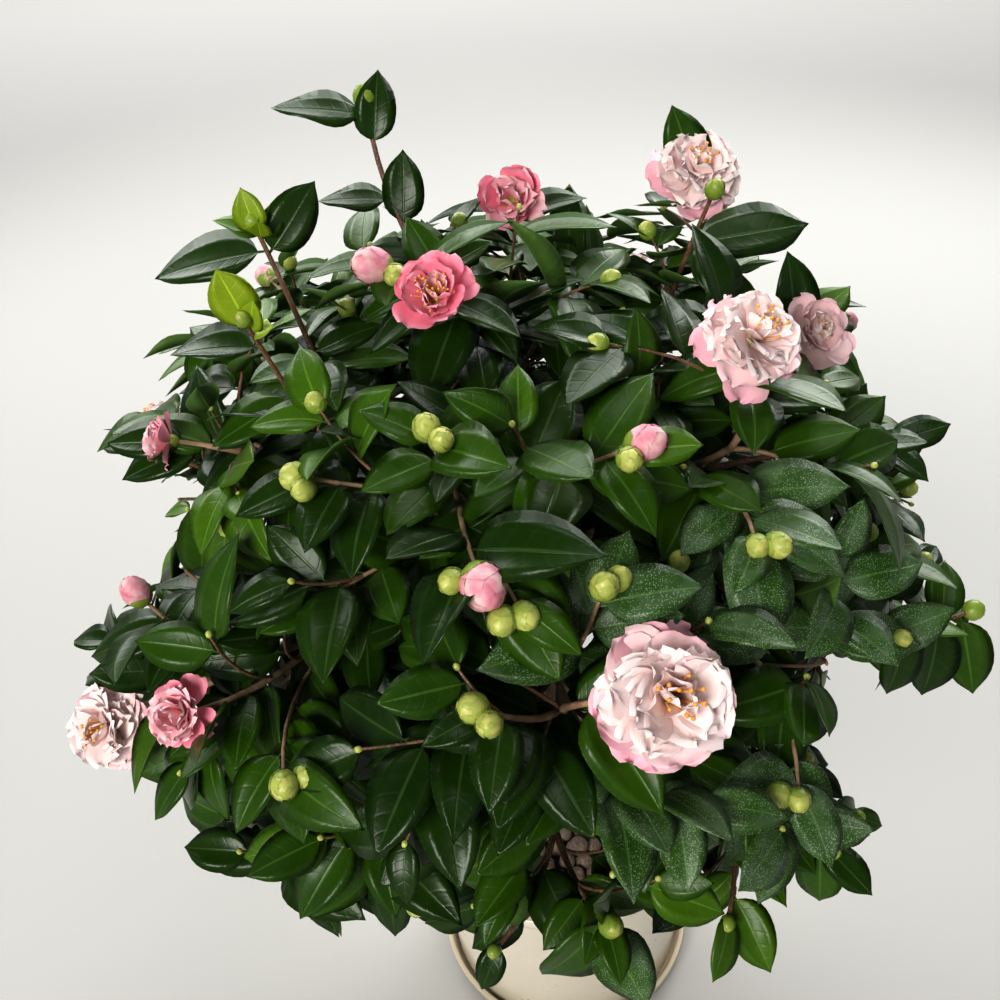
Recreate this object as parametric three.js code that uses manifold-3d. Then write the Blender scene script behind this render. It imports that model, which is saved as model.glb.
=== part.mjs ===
// A camellia shrub in flower, growing in a round cream pot that stands in its saucer.
// Sizes are millimetres and +Z is up. The origin is the middle of the saucer's flat underside.
// The side that faces a person standing in front of the plant is -Y, and their right is +X.

import * as THREE from 'three';
import { mergeVertices } from 'three/addons/utils/BufferGeometryUtils.js';
import Module from 'manifold-3d';

const wasm = await Module();
wasm.setup();

// Touching pieces keep this gap.
const GAP = 0.3;
// Fusing leaves needless corners on flat faces. Those this near to each other are merged.
const HAIR = 0.02;
const UP = new THREE.Vector3(0, 0, 1);

// Saucer and pot, both round and thin walled.
const ROUND_SIDES = 32;
const SAUCER_RADIUS = 134;
const SAUCER_FOOT_RADIUS = 127;
const SAUCER_HEIGHT = 22;
const SAUCER_FLOOR = 4;
const SAUCER_WALL = 5;
const POT_FOOT_RADIUS = 122;
const POT_WALL_RADIUS = 135;
const POT_RIM_RADIUS = 140;
const POT_MOUTH_RADIUS = 122;
const POT_RIM_DEPTH = 14;
const POT_TOP = 215;
const POT_WALL = 8;
const POT_FLOOR = 10;

// Potting soil under a layer of round clay pebbles.
const SOIL_TOP = 197;
const PEBBLE_RADIUS = 10;
const PEBBLE_RINGS = [100, 78, 56, 36];

// Trunk, from its flat cut on the soil to the fork.
const TRUNK_RADIUS = 13;
const TRUNK_TOP_RADIUS = 10.5;
const ROOT_FLARE = 0.75;
const TRUNK_LEAN = new THREE.Vector2(-14, 7);
const FORK_HEIGHT = 338;

// The crown is an upright egg of leaves, flatter below than above.
const CROWN_CENTRE = new THREE.Vector3(-25, 10, 540);
const CROWN_HALF_WIDTH = 330;
const CROWN_HALF_DEPTH = 320;
const CROWN_RISE = 280;
const CROWN_DROP = 230;

// A bough ends, and a mass of leaves has its middle, at these parts of the crown's reach.
const BOUGH_REACH = 0.46;
const MASS_REACH = 0.66;
const STEM_REACH = 0.78;
const BOUGH_TIP_RADIUS = 3.4;
const STEM_TIP_RADIUS = 2.2;
const TWIG_RADIUS = 2.3;
const TWIG_TIP_RADIUS = 1.4;
// A twig leaves its stem where the way to its end makes about this angle with the stem.
const TWIG_ANGLE_COSINE = 0.72;

// Leaves are a little larger than life, as each stands for two or three of the shrub's own.
const LEAF_LENGTH = 84;
const LEAF_WIDTH = 0.56;
const LEAF_FOLD = 0.035;
const LEAF_DROOP = 0.05;
const LEAF_STALK = 0.12;
const LEAFY_FROM = 0.28;
const LEAF_TRIES = 8;
const LEAVES_ON_TWIG = { leafy: 7, bloom: 5, bud: 5, shoot: 6 };
const SPACE_MARGIN = 0.8;
const LIMB_MARGIN = 1.2;

// Twig ends are spread evenly over the crown, in an outer and an inner shell. None is nearer
// than this to a bloom, a bud or a long shoot's end.
const CROWDED = 34;
const SHELLS = [
  { reach: 0.88, ends: 51, lowest: -0.66 },
  { reach: 0.64, ends: 8, lowest: -0.5 },
];

// The boughs and the mass of leaves that each carries. Bearing is counted from +X towards +Y,
// and rise from the level. Each bough leaves its parent limb at the given part of its length.
const LIMBS = [
  { name: 'top', bearing: 90, rise: 88, from: 'trunk', fork: 1, radius: 8.6 },
  { name: 'upper_left', bearing: -158, rise: 44, from: 'trunk', fork: 0.93, radius: 7.4 },
  { name: 'upper_front', bearing: -104, rise: 50, from: 'top', fork: 0.2, radius: 6.2 },
  { name: 'upper_front_right', bearing: -36, rise: 46, from: 'trunk', fork: 0.86, radius: 7.4 },
  { name: 'upper_right', bearing: 24, rise: 46, from: 'top', fork: 0.34, radius: 5.8 },
  { name: 'upper_back', bearing: 84, rise: 46, from: 'trunk', fork: 0.78, radius: 7.4 },
  { name: 'upper_back_left', bearing: 146, rise: 46, from: 'top', fork: 0.46, radius: 5.6 },
  { name: 'side_front_left', bearing: -143, rise: 8, from: 'upper_left', fork: 0.26, radius: 5.4 },
  { name: 'side_front', bearing: -86, rise: 16, from: 'upper_front_right', fork: 0.2, radius: 5.4 },
  { name: 'side_front_right', bearing: -42, rise: 8, from: 'upper_front_right', fork: 0.42, radius: 5 },
  { name: 'side_right', bearing: 8, rise: 8, from: 'trunk', fork: 0.7, radius: 5.6 },
  { name: 'side_back_right', bearing: 60, rise: 8, from: 'upper_back', fork: 0.26, radius: 5.4 },
  { name: 'side_back', bearing: 112, rise: 8, from: 'upper_back', fork: 0.42, radius: 5 },
  { name: 'side_left', bearing: 166, rise: 8, from: 'upper_left', fork: 0.42, radius: 5 },
  { name: 'low_front_left', bearing: -128, rise: -28, from: 'trunk', fork: 0.62, radius: 5 },
  { name: 'low_front', bearing: -88, rise: -30, from: 'trunk', fork: 0.5, radius: 5 },
  { name: 'low_front_right', bearing: -50, rise: -28, from: 'side_front_right', fork: 0.2, radius: 4.4 },
  { name: 'low_right', bearing: -8, rise: -28, from: 'side_right', fork: 0.25, radius: 4.6 },
  { name: 'low_back_right', bearing: 46, rise: -28, from: 'trunk', fork: 0.58, radius: 5 },
  { name: 'low_back_left', bearing: 110, rise: -28, from: 'trunk', fork: 0.7, radius: 5 },
  { name: 'low_left', bearing: 176, rise: -28, from: 'trunk', fork: 0.48, radius: 5 },
];

// Blooms by bearing, rise and reach, with their width across. A bloom opens along its twig, save
// those that turn to face the light another way.
const BLOOMS = [
  { bearing: -77, rise: 25, reach: 1, across: 78, faces: [-72, 42] },
  { bearing: -151, rise: -1, reach: 1.08, across: 60, faces: [-112, 38] },
  { bearing: -134, rise: 14, reach: 1, across: 44, faces: [-112, 40] },
  { bearing: -118, rise: 73, reach: 1.02, across: 50, faces: [-96, 48] },
  { bearing: 85, rise: 66, reach: 1.02, across: 46 },
  { bearing: 34, rise: 60, reach: 1.12, across: 72, faces: [-80, 50] },
  { bearing: -38, rise: 57, reach: 1.02, across: 64, faces: [-52, 56] },
  { bearing: -9, rise: 46, reach: 1.02, across: 50 },
  { bearing: -162, rise: 40, reach: 0.98, across: 40 },
  { bearing: 66, rise: 22, reach: 1, across: 70 },
  { bearing: 112, rise: 30, reach: 1, across: 56 },
  { bearing: 162, rise: 16, reach: 1, across: 62 },
];

// A bloom's rings of petal edges: radius, height and depth of ruffle, as parts of its width.
const PETALS = 5;
const BLOOM_RINGS = [
  { radius: 0.16, height: -0.06, ruffle: 0 },
  { radius: 0.45, height: 0.1, ruffle: 0.06 },
  { radius: 0.3, height: 0.17, ruffle: -0.03 },
  { radius: 0.3, height: 0.34, ruffle: 0.04 },
];
const BLOOM_HEART = 0.3;

// Buds by bearing, rise and reach. The wide ones are about to open.
const BUDS = [
  { bearing: -150, rise: 75, reach: 1.02, across: 23 },
  { bearing: -73, rise: 52, reach: 1, across: 20 },
  { bearing: -97, rise: 41, reach: 1.01, across: 24 },
  { bearing: -149, rise: 21, reach: 1.02, across: 18 },
  { bearing: -106, rise: 55, reach: 1, across: 16 },
  { bearing: -124, rise: 48, reach: 1, across: 18 },
  { bearing: -92, rise: 37, reach: 1, across: 16 },
  { bearing: -82, rise: 37, reach: 1, across: 16 },
  { bearing: -96, rise: 26, reach: 1.02, across: 17 },
  { bearing: -118, rise: 14, reach: 1.02, across: 17 },
  { bearing: -60, rise: 38, reach: 1, across: 14 },
  { bearing: -62, rise: 5, reach: 1, across: 14 },
  { bearing: 20, rise: 30, reach: 1.02, across: 18 },
  { bearing: 96, rise: 6, reach: 1.02, across: 17 },
  { bearing: 140, rise: 40, reach: 1.02, across: 18 },
];

// Long shoots that stand out past the crown. Each ends in a bud and carries its own leaves. The
// tall ones bend by way of a point of their own.
const SHOOTS = [
  { bearing: 143, rise: 75, reach: 1.29, across: 15, by: [170, 75, 0.94] },
  { bearing: -163, rise: 66, reach: 1.21, across: 11, by: [-150, 60, 0.85] },
  { bearing: -142, rise: 59, reach: 1.17, across: 10, by: [-150, 49, 0.68] },
  { bearing: 4, rise: 67, reach: 1.12, across: 13, by: [20, 60, 0.72] },
  { bearing: -17, rise: 30, reach: 1.06, across: 12 },
  { bearing: -26, rise: 6, reach: 1.05, across: 14 },
  { bearing: -84, rise: -16, reach: 1, across: 15 },
  { bearing: -54, rise: -18, reach: 1.12, across: 14 },
  { bearing: -68, rise: -24, reach: 1.06, across: 10 },
  { bearing: -44, rise: -25, reach: 1.05, across: 10 },
  { bearing: -97, rise: -26, reach: 1.03, across: 9 },
  { bearing: 178, rise: 28, reach: 1.04, across: 12 },
  { bearing: 50, rise: -14, reach: 1.03, across: 13 },
  { bearing: 130, rise: -18, reach: 1.03, across: 13 },
];

// Gaps at the crown's edge, by bearing, rise, reach and radius. No leaf stands in them, so one who
// looks from the viewer's place sees past the crown there.
const GAPS_SEEN_FROM = new THREE.Vector3(-40, -670, 1095);
const CROWN_GAP_LENGTH = 240;
const CROWN_GAPS = [
  { bearing: -171, rise: 18, reach: 1, radius: 56 },
  { bearing: -40, rise: -8, reach: 1.02, radius: 46 },
  { bearing: -32, rise: -2, reach: 1.05, radius: 32 },
  { bearing: 0, rise: 34, reach: 1.1, radius: 44 },
  { bearing: -16, rise: 15, reach: 1.05, radius: 32 },
  { bearing: 18, rise: 46, reach: 0.95, radius: 17 },
  { bearing: 9, rise: 46, reach: 1.17, radius: 36 },
  { bearing: 163, rise: 48, reach: 1.08, radius: 20 },
  { bearing: 56, rise: 66, reach: 1.1, radius: 24 },
  { bearing: 104, rise: 68, reach: 1.07, radius: 24 },
  { bearing: -105, rise: -21, reach: 1.07, radius: 26 },
  { bearing: -114, rise: -17, reach: 1.15, radius: 24 },
  { bearing: -93, rise: -22, reach: 1.07, radius: 15 },
  { bearing: -80, rise: -22, reach: 1, radius: 14 },
  { bearing: -86, rise: -30, reach: 0.85, radius: 26 },
];

const COLOURS = {
  leaf: { color: 0x2f5a1e, roughness: 0.38 },
  leafLight: { color: 0x3d6e22, roughness: 0.38 },
  bark: { color: 0x8a6f55, roughness: 0.85 },
  glaze: { color: 0xe6dcc4, roughness: 0.3 },
  saucer: { color: 0xdcd0b4, roughness: 0.4 },
  soil: { color: 0x6f5a48, roughness: 0.95 },
};

// Every random choice comes from a generator of this kind, so the shrub is the same each time.
function seeded(seed) {
  let state = (seed * 7919 + 12345) % 2147483647;
  return (low = 0, high = 1) => {
    state = (state * 48271) % 2147483647;
    return low + (high - low) * (state / 2147483647);
  };
}

// A closed geometry becomes a solid once its shared corners are merged.
function solid(geometry) {
  const shape = geometry.clone();
  shape.deleteAttribute('normal');
  shape.deleteAttribute('uv');
  const merged = mergeVertices(shape, 1e-4);
  return new wasm.Manifold(new wasm.Mesh({
    numProp: 3,
    vertProperties: new Float32Array(merged.attributes.position.array),
    triVerts: new Uint32Array(merged.index.array),
  }));
}

// Fusing can leave loose scraps and sealed hollows. Both go when only the largest skin is kept.
function largest(body) {
  return body.decompose().reduce((best, skin) => (skin.volume() > best.volume() ? skin : best));
}

function meshOf(name, body, look) {
  const { vertProperties, triVerts } = body.getMesh();
  const geometry = new THREE.BufferGeometry();
  geometry.setAttribute('position', new THREE.BufferAttribute(vertProperties, 3));
  geometry.setIndex(new THREE.BufferAttribute(triVerts, 1));
  geometry.computeVertexNormals();
  const mesh = new THREE.Mesh(geometry, new THREE.MeshStandardMaterial({ metalness: 0, ...look }));
  mesh.name = name;
  return mesh;
}

// A turned piece: its profile of radius and height pairs starts and ends on the axis or closes.
function turned(profile, sides = ROUND_SIDES) {
  const points = profile.map(([radius, height]) => new THREE.Vector2(radius, height));
  return new THREE.LatheGeometry(points, sides).rotateX(Math.PI / 2);
}

// A tapering round limb is an upright cylinder bent along its curve, with its own radius at
// each part of its length.
function tapered(curve, radiusAt, sides, steps) {
  const geometry = new THREE.CylinderGeometry(1, 1, 1, sides, steps).toNonIndexed();
  const frames = curve.computeFrenetFrames(steps);
  const place = geometry.attributes.position;
  for (let i = 0; i < place.count; i += 1) {
    const part = place.getY(i) + 0.5;
    const step = Math.round(part * steps);
    const turn = Math.atan2(place.getX(i), place.getZ(i));
    const radius = radiusAt(part) * Math.hypot(place.getX(i), place.getZ(i));
    const point = curve.getPoint(part).addScaledVector(around(frames, step, turn), radius);
    place.setXYZ(i, point.x, point.y, point.z);
  }
  return geometry;
}

// Directions round a limb, counted like the corners of its section.
function around(frames, step, turn) {
  const across = frames.normals[step].clone().multiplyScalar(-Math.sin(turn));
  return across.addScaledVector(frames.binormals[step], Math.cos(turn));
}

// A point on a bent limb's own middle line, which is straight from step to step.
function onLimb(curve, steps, part) {
  const step = Math.min(Math.floor(part * steps), steps - 1);
  const from = curve.getPoint(step / steps);
  return from.lerp(curve.getPoint((step + 1) / steps), part * steps - step);
}

// A thin blade with an oval outline of six corners. Its sides are lifted above the midrib.
function blade(length, width, fold, droop, root = 0) {
  const half = (length * width) / 2;
  const lift = length * fold;
  const corners = [
    [0, length * root, 0],
    [half, length * 0.32, lift],
    [half * 0.86, length * 0.68, lift],
    [0, length, -length * droop],
    [-half * 0.86, length * 0.68, lift],
    [-half, length * 0.32, lift],
  ];
  const top = [0, 1, 5, 1, 2, 4, 1, 4, 5, 2, 3, 4];
  const under = [0, 3, 1, 3, 2, 1, 0, 5, 3, 5, 4, 3];
  const geometry = new THREE.BufferGeometry();
  geometry.setFromPoints(corners.map((corner) => new THREE.Vector3(...corner)));
  geometry.setIndex([...top, ...under]);
  return geometry;
}

// Sets a piece that was made along +Y, facing +Z, at a point with a new direction and facing.
function aim(geometry, at, along, facing) {
  const y = along.clone().normalize();
  const x = new THREE.Vector3().crossVectors(y, facing);
  if (x.length() < 0.01) x.set(1, 0, 0);
  x.normalize();
  const z = new THREE.Vector3().crossVectors(x, y);
  return geometry.applyMatrix4(new THREE.Matrix4().makeBasis(x, y, z).setPosition(at));
}

// A point by bearing and rise, at a part of the crown's reach.
function onCrown(bearing, rise, reach) {
  const turn = THREE.MathUtils.degToRad(bearing);
  const lift = THREE.MathUtils.degToRad(rise);
  const height = lift > 0 ? CROWN_RISE : CROWN_DROP;
  return new THREE.Vector3(
    CROWN_HALF_WIDTH * Math.cos(lift) * Math.cos(turn),
    CROWN_HALF_DEPTH * Math.cos(lift) * Math.sin(turn),
    height * Math.sin(lift),
  ).multiplyScalar(reach).add(CROWN_CENTRE);
}

// A level direction by bearing, lifted by a rise.
function towards([bearing, rise]) {
  const turn = THREE.MathUtils.degToRad(bearing);
  const lift = THREE.MathUtils.degToRad(rise);
  const flat = new THREE.Vector3(Math.cos(turn), Math.sin(turn), 0);
  return flat.multiplyScalar(Math.cos(lift)).setZ(Math.sin(lift));
}

// The part of the crown's reach at which a point lies.
function reachOf(point) {
  const offset = point.clone().sub(CROWN_CENTRE);
  const height = offset.z > 0 ? CROWN_RISE : CROWN_DROP;
  return Math.hypot(offset.x / CROWN_HALF_WIDTH, offset.y / CROWN_HALF_DEPTH, offset.z / height);
}

// Saucer: a shallow dish with a flat underside.
function saucer() {
  return solid(turned([
    [0, 0],
    [SAUCER_FOOT_RADIUS, 0],
    [SAUCER_RADIUS, SAUCER_HEIGHT],
    [SAUCER_RADIUS - SAUCER_WALL, SAUCER_HEIGHT],
    [SAUCER_FOOT_RADIUS - SAUCER_WALL + 1, SAUCER_FLOOR],
    [0, SAUCER_FLOOR],
  ]));
}

// Pot: a gently tapering wall with a thick flat rim, standing on the saucer's floor.
const POT_BASE = SAUCER_FLOOR + GAP;
function pot() {
  return solid(turned([
    [0, POT_BASE],
    [POT_FOOT_RADIUS - 4, POT_BASE],
    [POT_FOOT_RADIUS, POT_BASE + 6],
    [POT_WALL_RADIUS, POT_TOP - POT_RIM_DEPTH],
    [POT_RIM_RADIUS, POT_TOP - POT_RIM_DEPTH + 3],
    [POT_RIM_RADIUS, POT_TOP - 2],
    [POT_RIM_RADIUS - 2, POT_TOP],
    [POT_MOUTH_RADIUS + 1, POT_TOP],
    [POT_MOUTH_RADIUS, POT_TOP - 2],
    [POT_MOUTH_RADIUS, POT_TOP - POT_RIM_DEPTH],
    [POT_FOOT_RADIUS - POT_WALL, POT_BASE + POT_FLOOR],
    [0, POT_BASE + POT_FLOOR],
  ]));
}

// Soil: it fills the pot to just under the rim. The pebbles make its top uneven, save where the
// trunk stands on it.
function soil() {
  const bottom = POT_BASE + POT_FLOOR + GAP;
  const wall = POT_MOUTH_RADIUS - GAP - 1;
  const foot = POT_FOOT_RADIUS - POT_WALL - GAP - 1;
  const random = seeded(3);
  const rings = PEBBLE_RINGS.map((radius) => [radius, SOIL_TOP]);
  const shape = turned([[0, bottom], [foot, bottom], [wall, SOIL_TOP], ...rings, [0, SOIL_TOP]]);
  const place = shape.attributes.position;
  const profileLength = rings.length + 4;
  for (let i = 0; i < place.count - profileLength; i += 1) {
    const ring = (i % profileLength) - 3;
    if (ring < 0 || ring >= rings.length - 1) continue;
    const seam = i < profileLength ? [i, i + place.count - profileLength] : [i];
    const bump = random(-PEBBLE_RADIUS * 0.3, PEBBLE_RADIUS * 0.5);
    seam.forEach((corner) => place.setZ(corner, SOIL_TOP + bump));
  }
  return solid(shape);
}

// Trunk: it flares at the root, leans a little and ends at the fork.
const TRUNK_BASE = SOIL_TOP + GAP;
const trunkCurve = new THREE.CubicBezierCurve3(
  new THREE.Vector3(0, 0, TRUNK_BASE),
  new THREE.Vector3(0, 0, TRUNK_BASE + 48),
  new THREE.Vector3(TRUNK_LEAN.x * 0.7, TRUNK_LEAN.y, FORK_HEIGHT - 45),
  new THREE.Vector3(TRUNK_LEAN.x, TRUNK_LEAN.y, FORK_HEIGHT),
);

function trunkRadius(part) {
  const taper = THREE.MathUtils.lerp(TRUNK_RADIUS, TRUNK_TOP_RADIUS, part);
  return taper * (1 + ROOT_FLARE * Math.exp(-part * 9));
}

// Limbs: name to curve, radius and solid. A bough starts inside its parent and is then cut back
// to the gap round the parent and round each limb that was made before it.
const limbs = new Map();
limbs.set('trunk', {
  curve: trunkCurve,
  radiusAt: trunkRadius,
  sides: 8,
  steps: 7,
});

function limbSolid({ curve, radiusAt, sides, steps }, margin = 0) {
  return solid(tapered(curve, (part) => radiusAt(part) + margin, sides, steps));
}

function boughCurve(limb) {
  const parent = limbs.get(limb.from);
  const tangent = parent.curve.getTangent(limb.fork);
  const start = parent.curve.getPoint(limb.fork);
  if (limb.fork === 1) start.addScaledVector(tangent, GAP);
  const end = onCrown(limb.bearing, limb.rise, BOUGH_REACH);
  const across = end.clone().sub(start);
  const length = across.length();
  const leave = across.clone().normalize().lerp(tangent, 0.35).normalize();
  const outward = onCrown(limb.bearing, limb.rise, 1).sub(onCrown(limb.bearing, limb.rise, 0.3));
  outward.normalize();
  return new THREE.CubicBezierCurve3(
    start,
    start.clone().addScaledVector(leave, length * 0.36),
    end.clone().addScaledVector(outward, -length * 0.3),
    end,
  );
}

for (const limb of LIMBS) {
  const tip = BOUGH_TIP_RADIUS;
  limbs.set(limb.name, {
    curve: boughCurve(limb),
    radiusAt: (part) => THREE.MathUtils.lerp(limb.radius, tip, part ** 0.8),
    sides: 5,
    steps: 5,
  });
}

const bodies = new Map();
let cleared = null;
for (const [name, limb] of limbs) {
  const body = cleared ? largest(limbSolid(limb).subtract(cleared)) : limbSolid(limb);
  bodies.set(name, body);
  const grown = limbSolid(limb, GAP + 0.1);
  cleared = cleared ? cleared.add(grown) : grown;
}

// Leaves and twigs stay clear of these: every limb, the pot and the air inside its rim, the
// crown's gaps, and the air that each bloom opens into.
function air({ x, y, z }, radius) {
  return solid(new THREE.IcosahedronGeometry(radius, 1).translate(x, y, z));
}

function crownGap({ bearing, rise, reach, radius }) {
  const middle = onCrown(bearing, rise, reach);
  const sight = middle.clone().sub(GAPS_SEEN_FROM);
  return solid(aim(new THREE.CylinderGeometry(radius, radius, CROWN_GAP_LENGTH, 10), middle, sight, UP));
}

const keepOut = wasm.Manifold.union([
  ...[...limbs.values()].map((limb) => limbSolid(limb, LIMB_MARGIN)),
  solid(turned([
    [0, 0],
    [POT_RIM_RADIUS + 4, 0],
    [POT_RIM_RADIUS + 4, POT_TOP + 4],
    [0, POT_TOP + 4],
  ])),
  ...CROWN_GAPS.map(crownGap),
  ...BLOOMS.map(({ bearing, rise, reach, across, faces }) => {
    const out = faces ? onCrown(bearing, rise, reach).addScaledVector(towards(faces), across)
      : onCrown(bearing, rise, reach + across / CROWN_HALF_WIDTH);
    return air(out, across * 0.6);
  }),
]);

// The space of a mass is the part of the crown that lies nearer to its middle than to any other.
const middles = LIMBS.map(({ bearing, rise }) => onCrown(bearing, rise, MASS_REACH));

function roomAt(point, index) {
  const own = middles[index];
  let room = Infinity;
  middles.forEach((other, i) => {
    if (i === index) return;
    const apart = other.clone().sub(own);
    const half = apart.length() / 2;
    room = Math.min(room, half - point.clone().sub(own).dot(apart) / (half * 2));
  });
  return room;
}

function nearestMass(point) {
  const apart = middles.map((middle) => middle.distanceToSquared(point));
  return apart.indexOf(Math.min(...apart));
}

function cornersOf(geometry) {
  const place = geometry.attributes.position;
  return Array.from({ length: place.count }, (_, i) => new THREE.Vector3().fromBufferAttribute(place, i));
}

function fits(geometry, index, furthest) {
  const inside = cornersOf(geometry).every((corner) => (
    roomAt(corner, index) > SPACE_MARGIN && reachOf(corner) < furthest
  ));
  return inside && keepOut.intersect(solid(geometry)).isEmpty();
}

// Twig ends: evenly spread points on each shell, dealt out to the mass whose space holds them.
function spreadEnds() {
  const golden = Math.PI * (3 - Math.sqrt(5));
  return SHELLS.flatMap(({ reach, ends, lowest }) => Array.from({ length: ends }, (_, i) => {
    const sine = THREE.MathUtils.lerp(1, lowest, (i + 0.5) / ends);
    const rise = THREE.MathUtils.radToDeg(Math.asin(sine));
    const bearing = THREE.MathUtils.radToDeg(i * golden + reach * 5);
    return { point: onCrown(bearing, rise, reach), kind: 'leafy', furthest: 1.08 };
  }));
}

const namedEnds = [
  ...BLOOMS.map((end) => ({ ...end, kind: 'bloom' })),
  ...BUDS.map((end) => ({ ...end, kind: 'bud' })),
  ...SHOOTS.map((end) => ({ ...end, kind: 'shoot' })),
].map((end) => ({ ...end, point: onCrown(end.bearing, end.rise, end.reach), furthest: 1.6 }));

// A twig forks from its stem where the way to its end, or to the point it bends by, makes the
// usual angle with the stem.
function twigCurve(stem, { point, by }) {
  const end = by ? onCrown(...by) : point;
  let best = null;
  for (let part = 0.12; part <= 0.97; part += 0.05) {
    const from = stem.getPoint(part);
    const way = end.clone().sub(from);
    const miss = Math.abs(way.normalize().dot(stem.getTangent(part)) - TWIG_ANGLE_COSINE);
    if (!best || miss < best.miss) best = { miss, part };
  }
  const from = stem.getPoint(best.part);
  const length = from.distanceTo(end);
  const along = end.clone().sub(from).normalize();
  const leave = along.clone().lerp(stem.getTangent(best.part), 0.5).normalize();
  const bend = by ? end : from.clone().addScaledVector(leave, length * 0.5);
  return new THREE.QuadraticBezierCurve3(from, bend, point);
}

// One leaf set on one of a twig's three sides. It spreads from the twig, and its face looks up
// and outwards.
function leafOn(twig, part, face, spread, length, slant, root) {
  const at = onLimb(twig.curve, twig.steps, part);
  const tangent = twig.curve.getTangent(part);
  const turn = ((face + 0.5) * Math.PI * 2) / 3;
  const side = around(twig.frames, Math.round(part * twig.steps), turn);
  const along = tangent.multiplyScalar(Math.cos(spread)).addScaledVector(side, Math.sin(spread));
  along.z -= slant;
  const facing = at.clone().sub(CROWN_CENTRE).normalize().multiplyScalar(0.6);
  facing.z += 0.8;
  return aim(blade(length, LEAF_WIDTH, LEAF_FOLD, LEAF_DROOP, root), at, along, facing);
}

// Leaves alternate up the outer half of a twig, the last one at its tip. Each is turned on until
// it fits its space and crosses nothing, and is left out when no turn will do.
function leavesOn(twig, index, random, grown) {
  const count = LEAVES_ON_TWIG[twig.end.kind];
  let mass = grown;
  for (let i = 0; i < count; i += 1) {
    const last = i === count - 1;
    const part = last ? 0.985 : THREE.MathUtils.lerp(LEAFY_FROM, 0.95, i / (count - 1));
    const length = LEAF_LENGTH * random(0.84, 1.08);
    const wide = last ? 30 : random(52, 74);
    const slant = random(0.05, 0.4);
    for (let attempt = 0; attempt < LEAF_TRIES; attempt += 1) {
      const spread = THREE.MathUtils.degToRad(wide - 10 * Math.floor(attempt / 3));
      const size = length * (1 - 0.03 * attempt);
      const leaf = leafOn(twig, part, i + attempt, spread, size, slant, 0);
      const free = leafOn(twig, part, i + attempt, spread, size, slant, LEAF_STALK);
      if (fits(leaf, index, twig.end.furthest) && mass.intersect(solid(free)).isEmpty()) {
        mass = mass.add(solid(leaf));
        break;
      }
    }
  }
  return mass;
}

// A bud is a short pointed egg, sunk a little way onto the twig's tip.
function bud(at, along, across) {
  const half = across / 2;
  const shape = turned([
    [0, 0],
    [half * 0.8, half * 0.5],
    [half * 0.92, half * 1.3],
    [0, half * 2.5],
  ], 6).rotateX(-Math.PI / 2);
  const root = at.clone().addScaledVector(along, -half * 0.3);
  return solid(aim(shape, root, along, UP));
}

// A bloom is a full ruffled cup: rings of petal edges that stand out and fold in by turns.
function bloom(at, along, across) {
  const rings = BLOOM_RINGS.map(({ radius, height }) => [radius * across, height * across]);
  const profile = [[0, BLOOM_RINGS[0].height * across], ...rings, [0, BLOOM_HEART * across]];
  const shape = turned(profile, PETALS * 2);
  const place = shape.attributes.position;
  for (let i = 0; i < place.count; i += 1) {
    const ring = BLOOM_RINGS[(i % profile.length) - 1];
    if (!ring) continue;
    const out = Math.floor(i / profile.length) % 2 ? ring.ruffle : -ring.ruffle;
    const wider = 1 + out / ring.radius;
    place.setXY(i, place.getX(i) * wider, place.getY(i) * wider);
    place.setZ(i, place.getZ(i) - out * across * 0.7);
  }
  return solid(aim(shape.rotateX(-Math.PI / 2), at, along, UP));
}

// A mass of leaves: one stem carries on from its bough, and its twigs run to their ends.
function foliage(limb, index, ends) {
  const random = seeded(index + 1);
  const bough = limbs.get(limb.name).curve;
  const way = bough.getTangent(1);
  const start = bough.getPoint(1).addScaledVector(way, GAP);
  const stemEnd = onCrown(limb.bearing, limb.rise, STEM_REACH);
  const bend = start.clone().addScaledVector(way, start.distanceTo(stemEnd) * 0.5);
  const stem = new THREE.QuadraticBezierCurve3(start, bend, stemEnd);
  const stemRadius = (part) => THREE.MathUtils.lerp(BOUGH_TIP_RADIUS, STEM_TIP_RADIUS, part);
  const twigRadius = (part) => THREE.MathUtils.lerp(TWIG_RADIUS, TWIG_TIP_RADIUS, part);
  let mass = solid(tapered(stem, stemRadius, 4, 3));
  const twigs = [];
  for (const end of ends) {
    const curve = twigCurve(stem, end);
    const steps = end.kind === 'shoot' ? 3 : 2;
    const shape = tapered(curve, twigRadius, 3, steps);
    if (end.kind === 'leafy' && !fits(shape, index, 2)) continue;
    mass = mass.add(solid(shape));
    const onward = curve.getTangent(1);
    const open = end.faces ? towards(end.faces) : onward;
    if (end.kind === 'bloom') mass = mass.add(bloom(end.point, open, end.across));
    if (end.kind === 'bud' || end.kind === 'shoot') mass = mass.add(bud(end.point, onward, end.across));
    twigs.push({ curve, steps, end, frames: curve.computeFrenetFrames(steps) });
  }
  for (const twig of twigs) mass = leavesOn(twig, index, random, mass);
  return largest(mass).asOriginal().simplify(HAIR);
}

// Ordinary ends that would crowd a named one are left out.
const ends = [...namedEnds];
for (const end of spreadEnds()) {
  if (namedEnds.every((named) => named.point.distanceTo(end.point) > CROWDED)) ends.push(end);
}

const shrub = new THREE.Group();
shrub.add(meshOf('saucer', saucer(), COLOURS.saucer));
shrub.add(meshOf('pot', pot(), COLOURS.glaze));
shrub.add(meshOf('soil', soil(), COLOURS.soil));
for (const [name, body] of bodies) {
  shrub.add(meshOf(name === 'trunk' ? 'trunk' : `bough_${name}`, body, COLOURS.bark));
}
LIMBS.forEach((limb, index) => {
  const own = ends.filter((end) => nearestMass(end.point) === index);
  const look = index % 2 ? COLOURS.leaf : COLOURS.leafLight;
  shrub.add(meshOf(`foliage_${limb.name}`, foliage(limb, index, own), look));
});

export default shrub;
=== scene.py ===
import math

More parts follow.
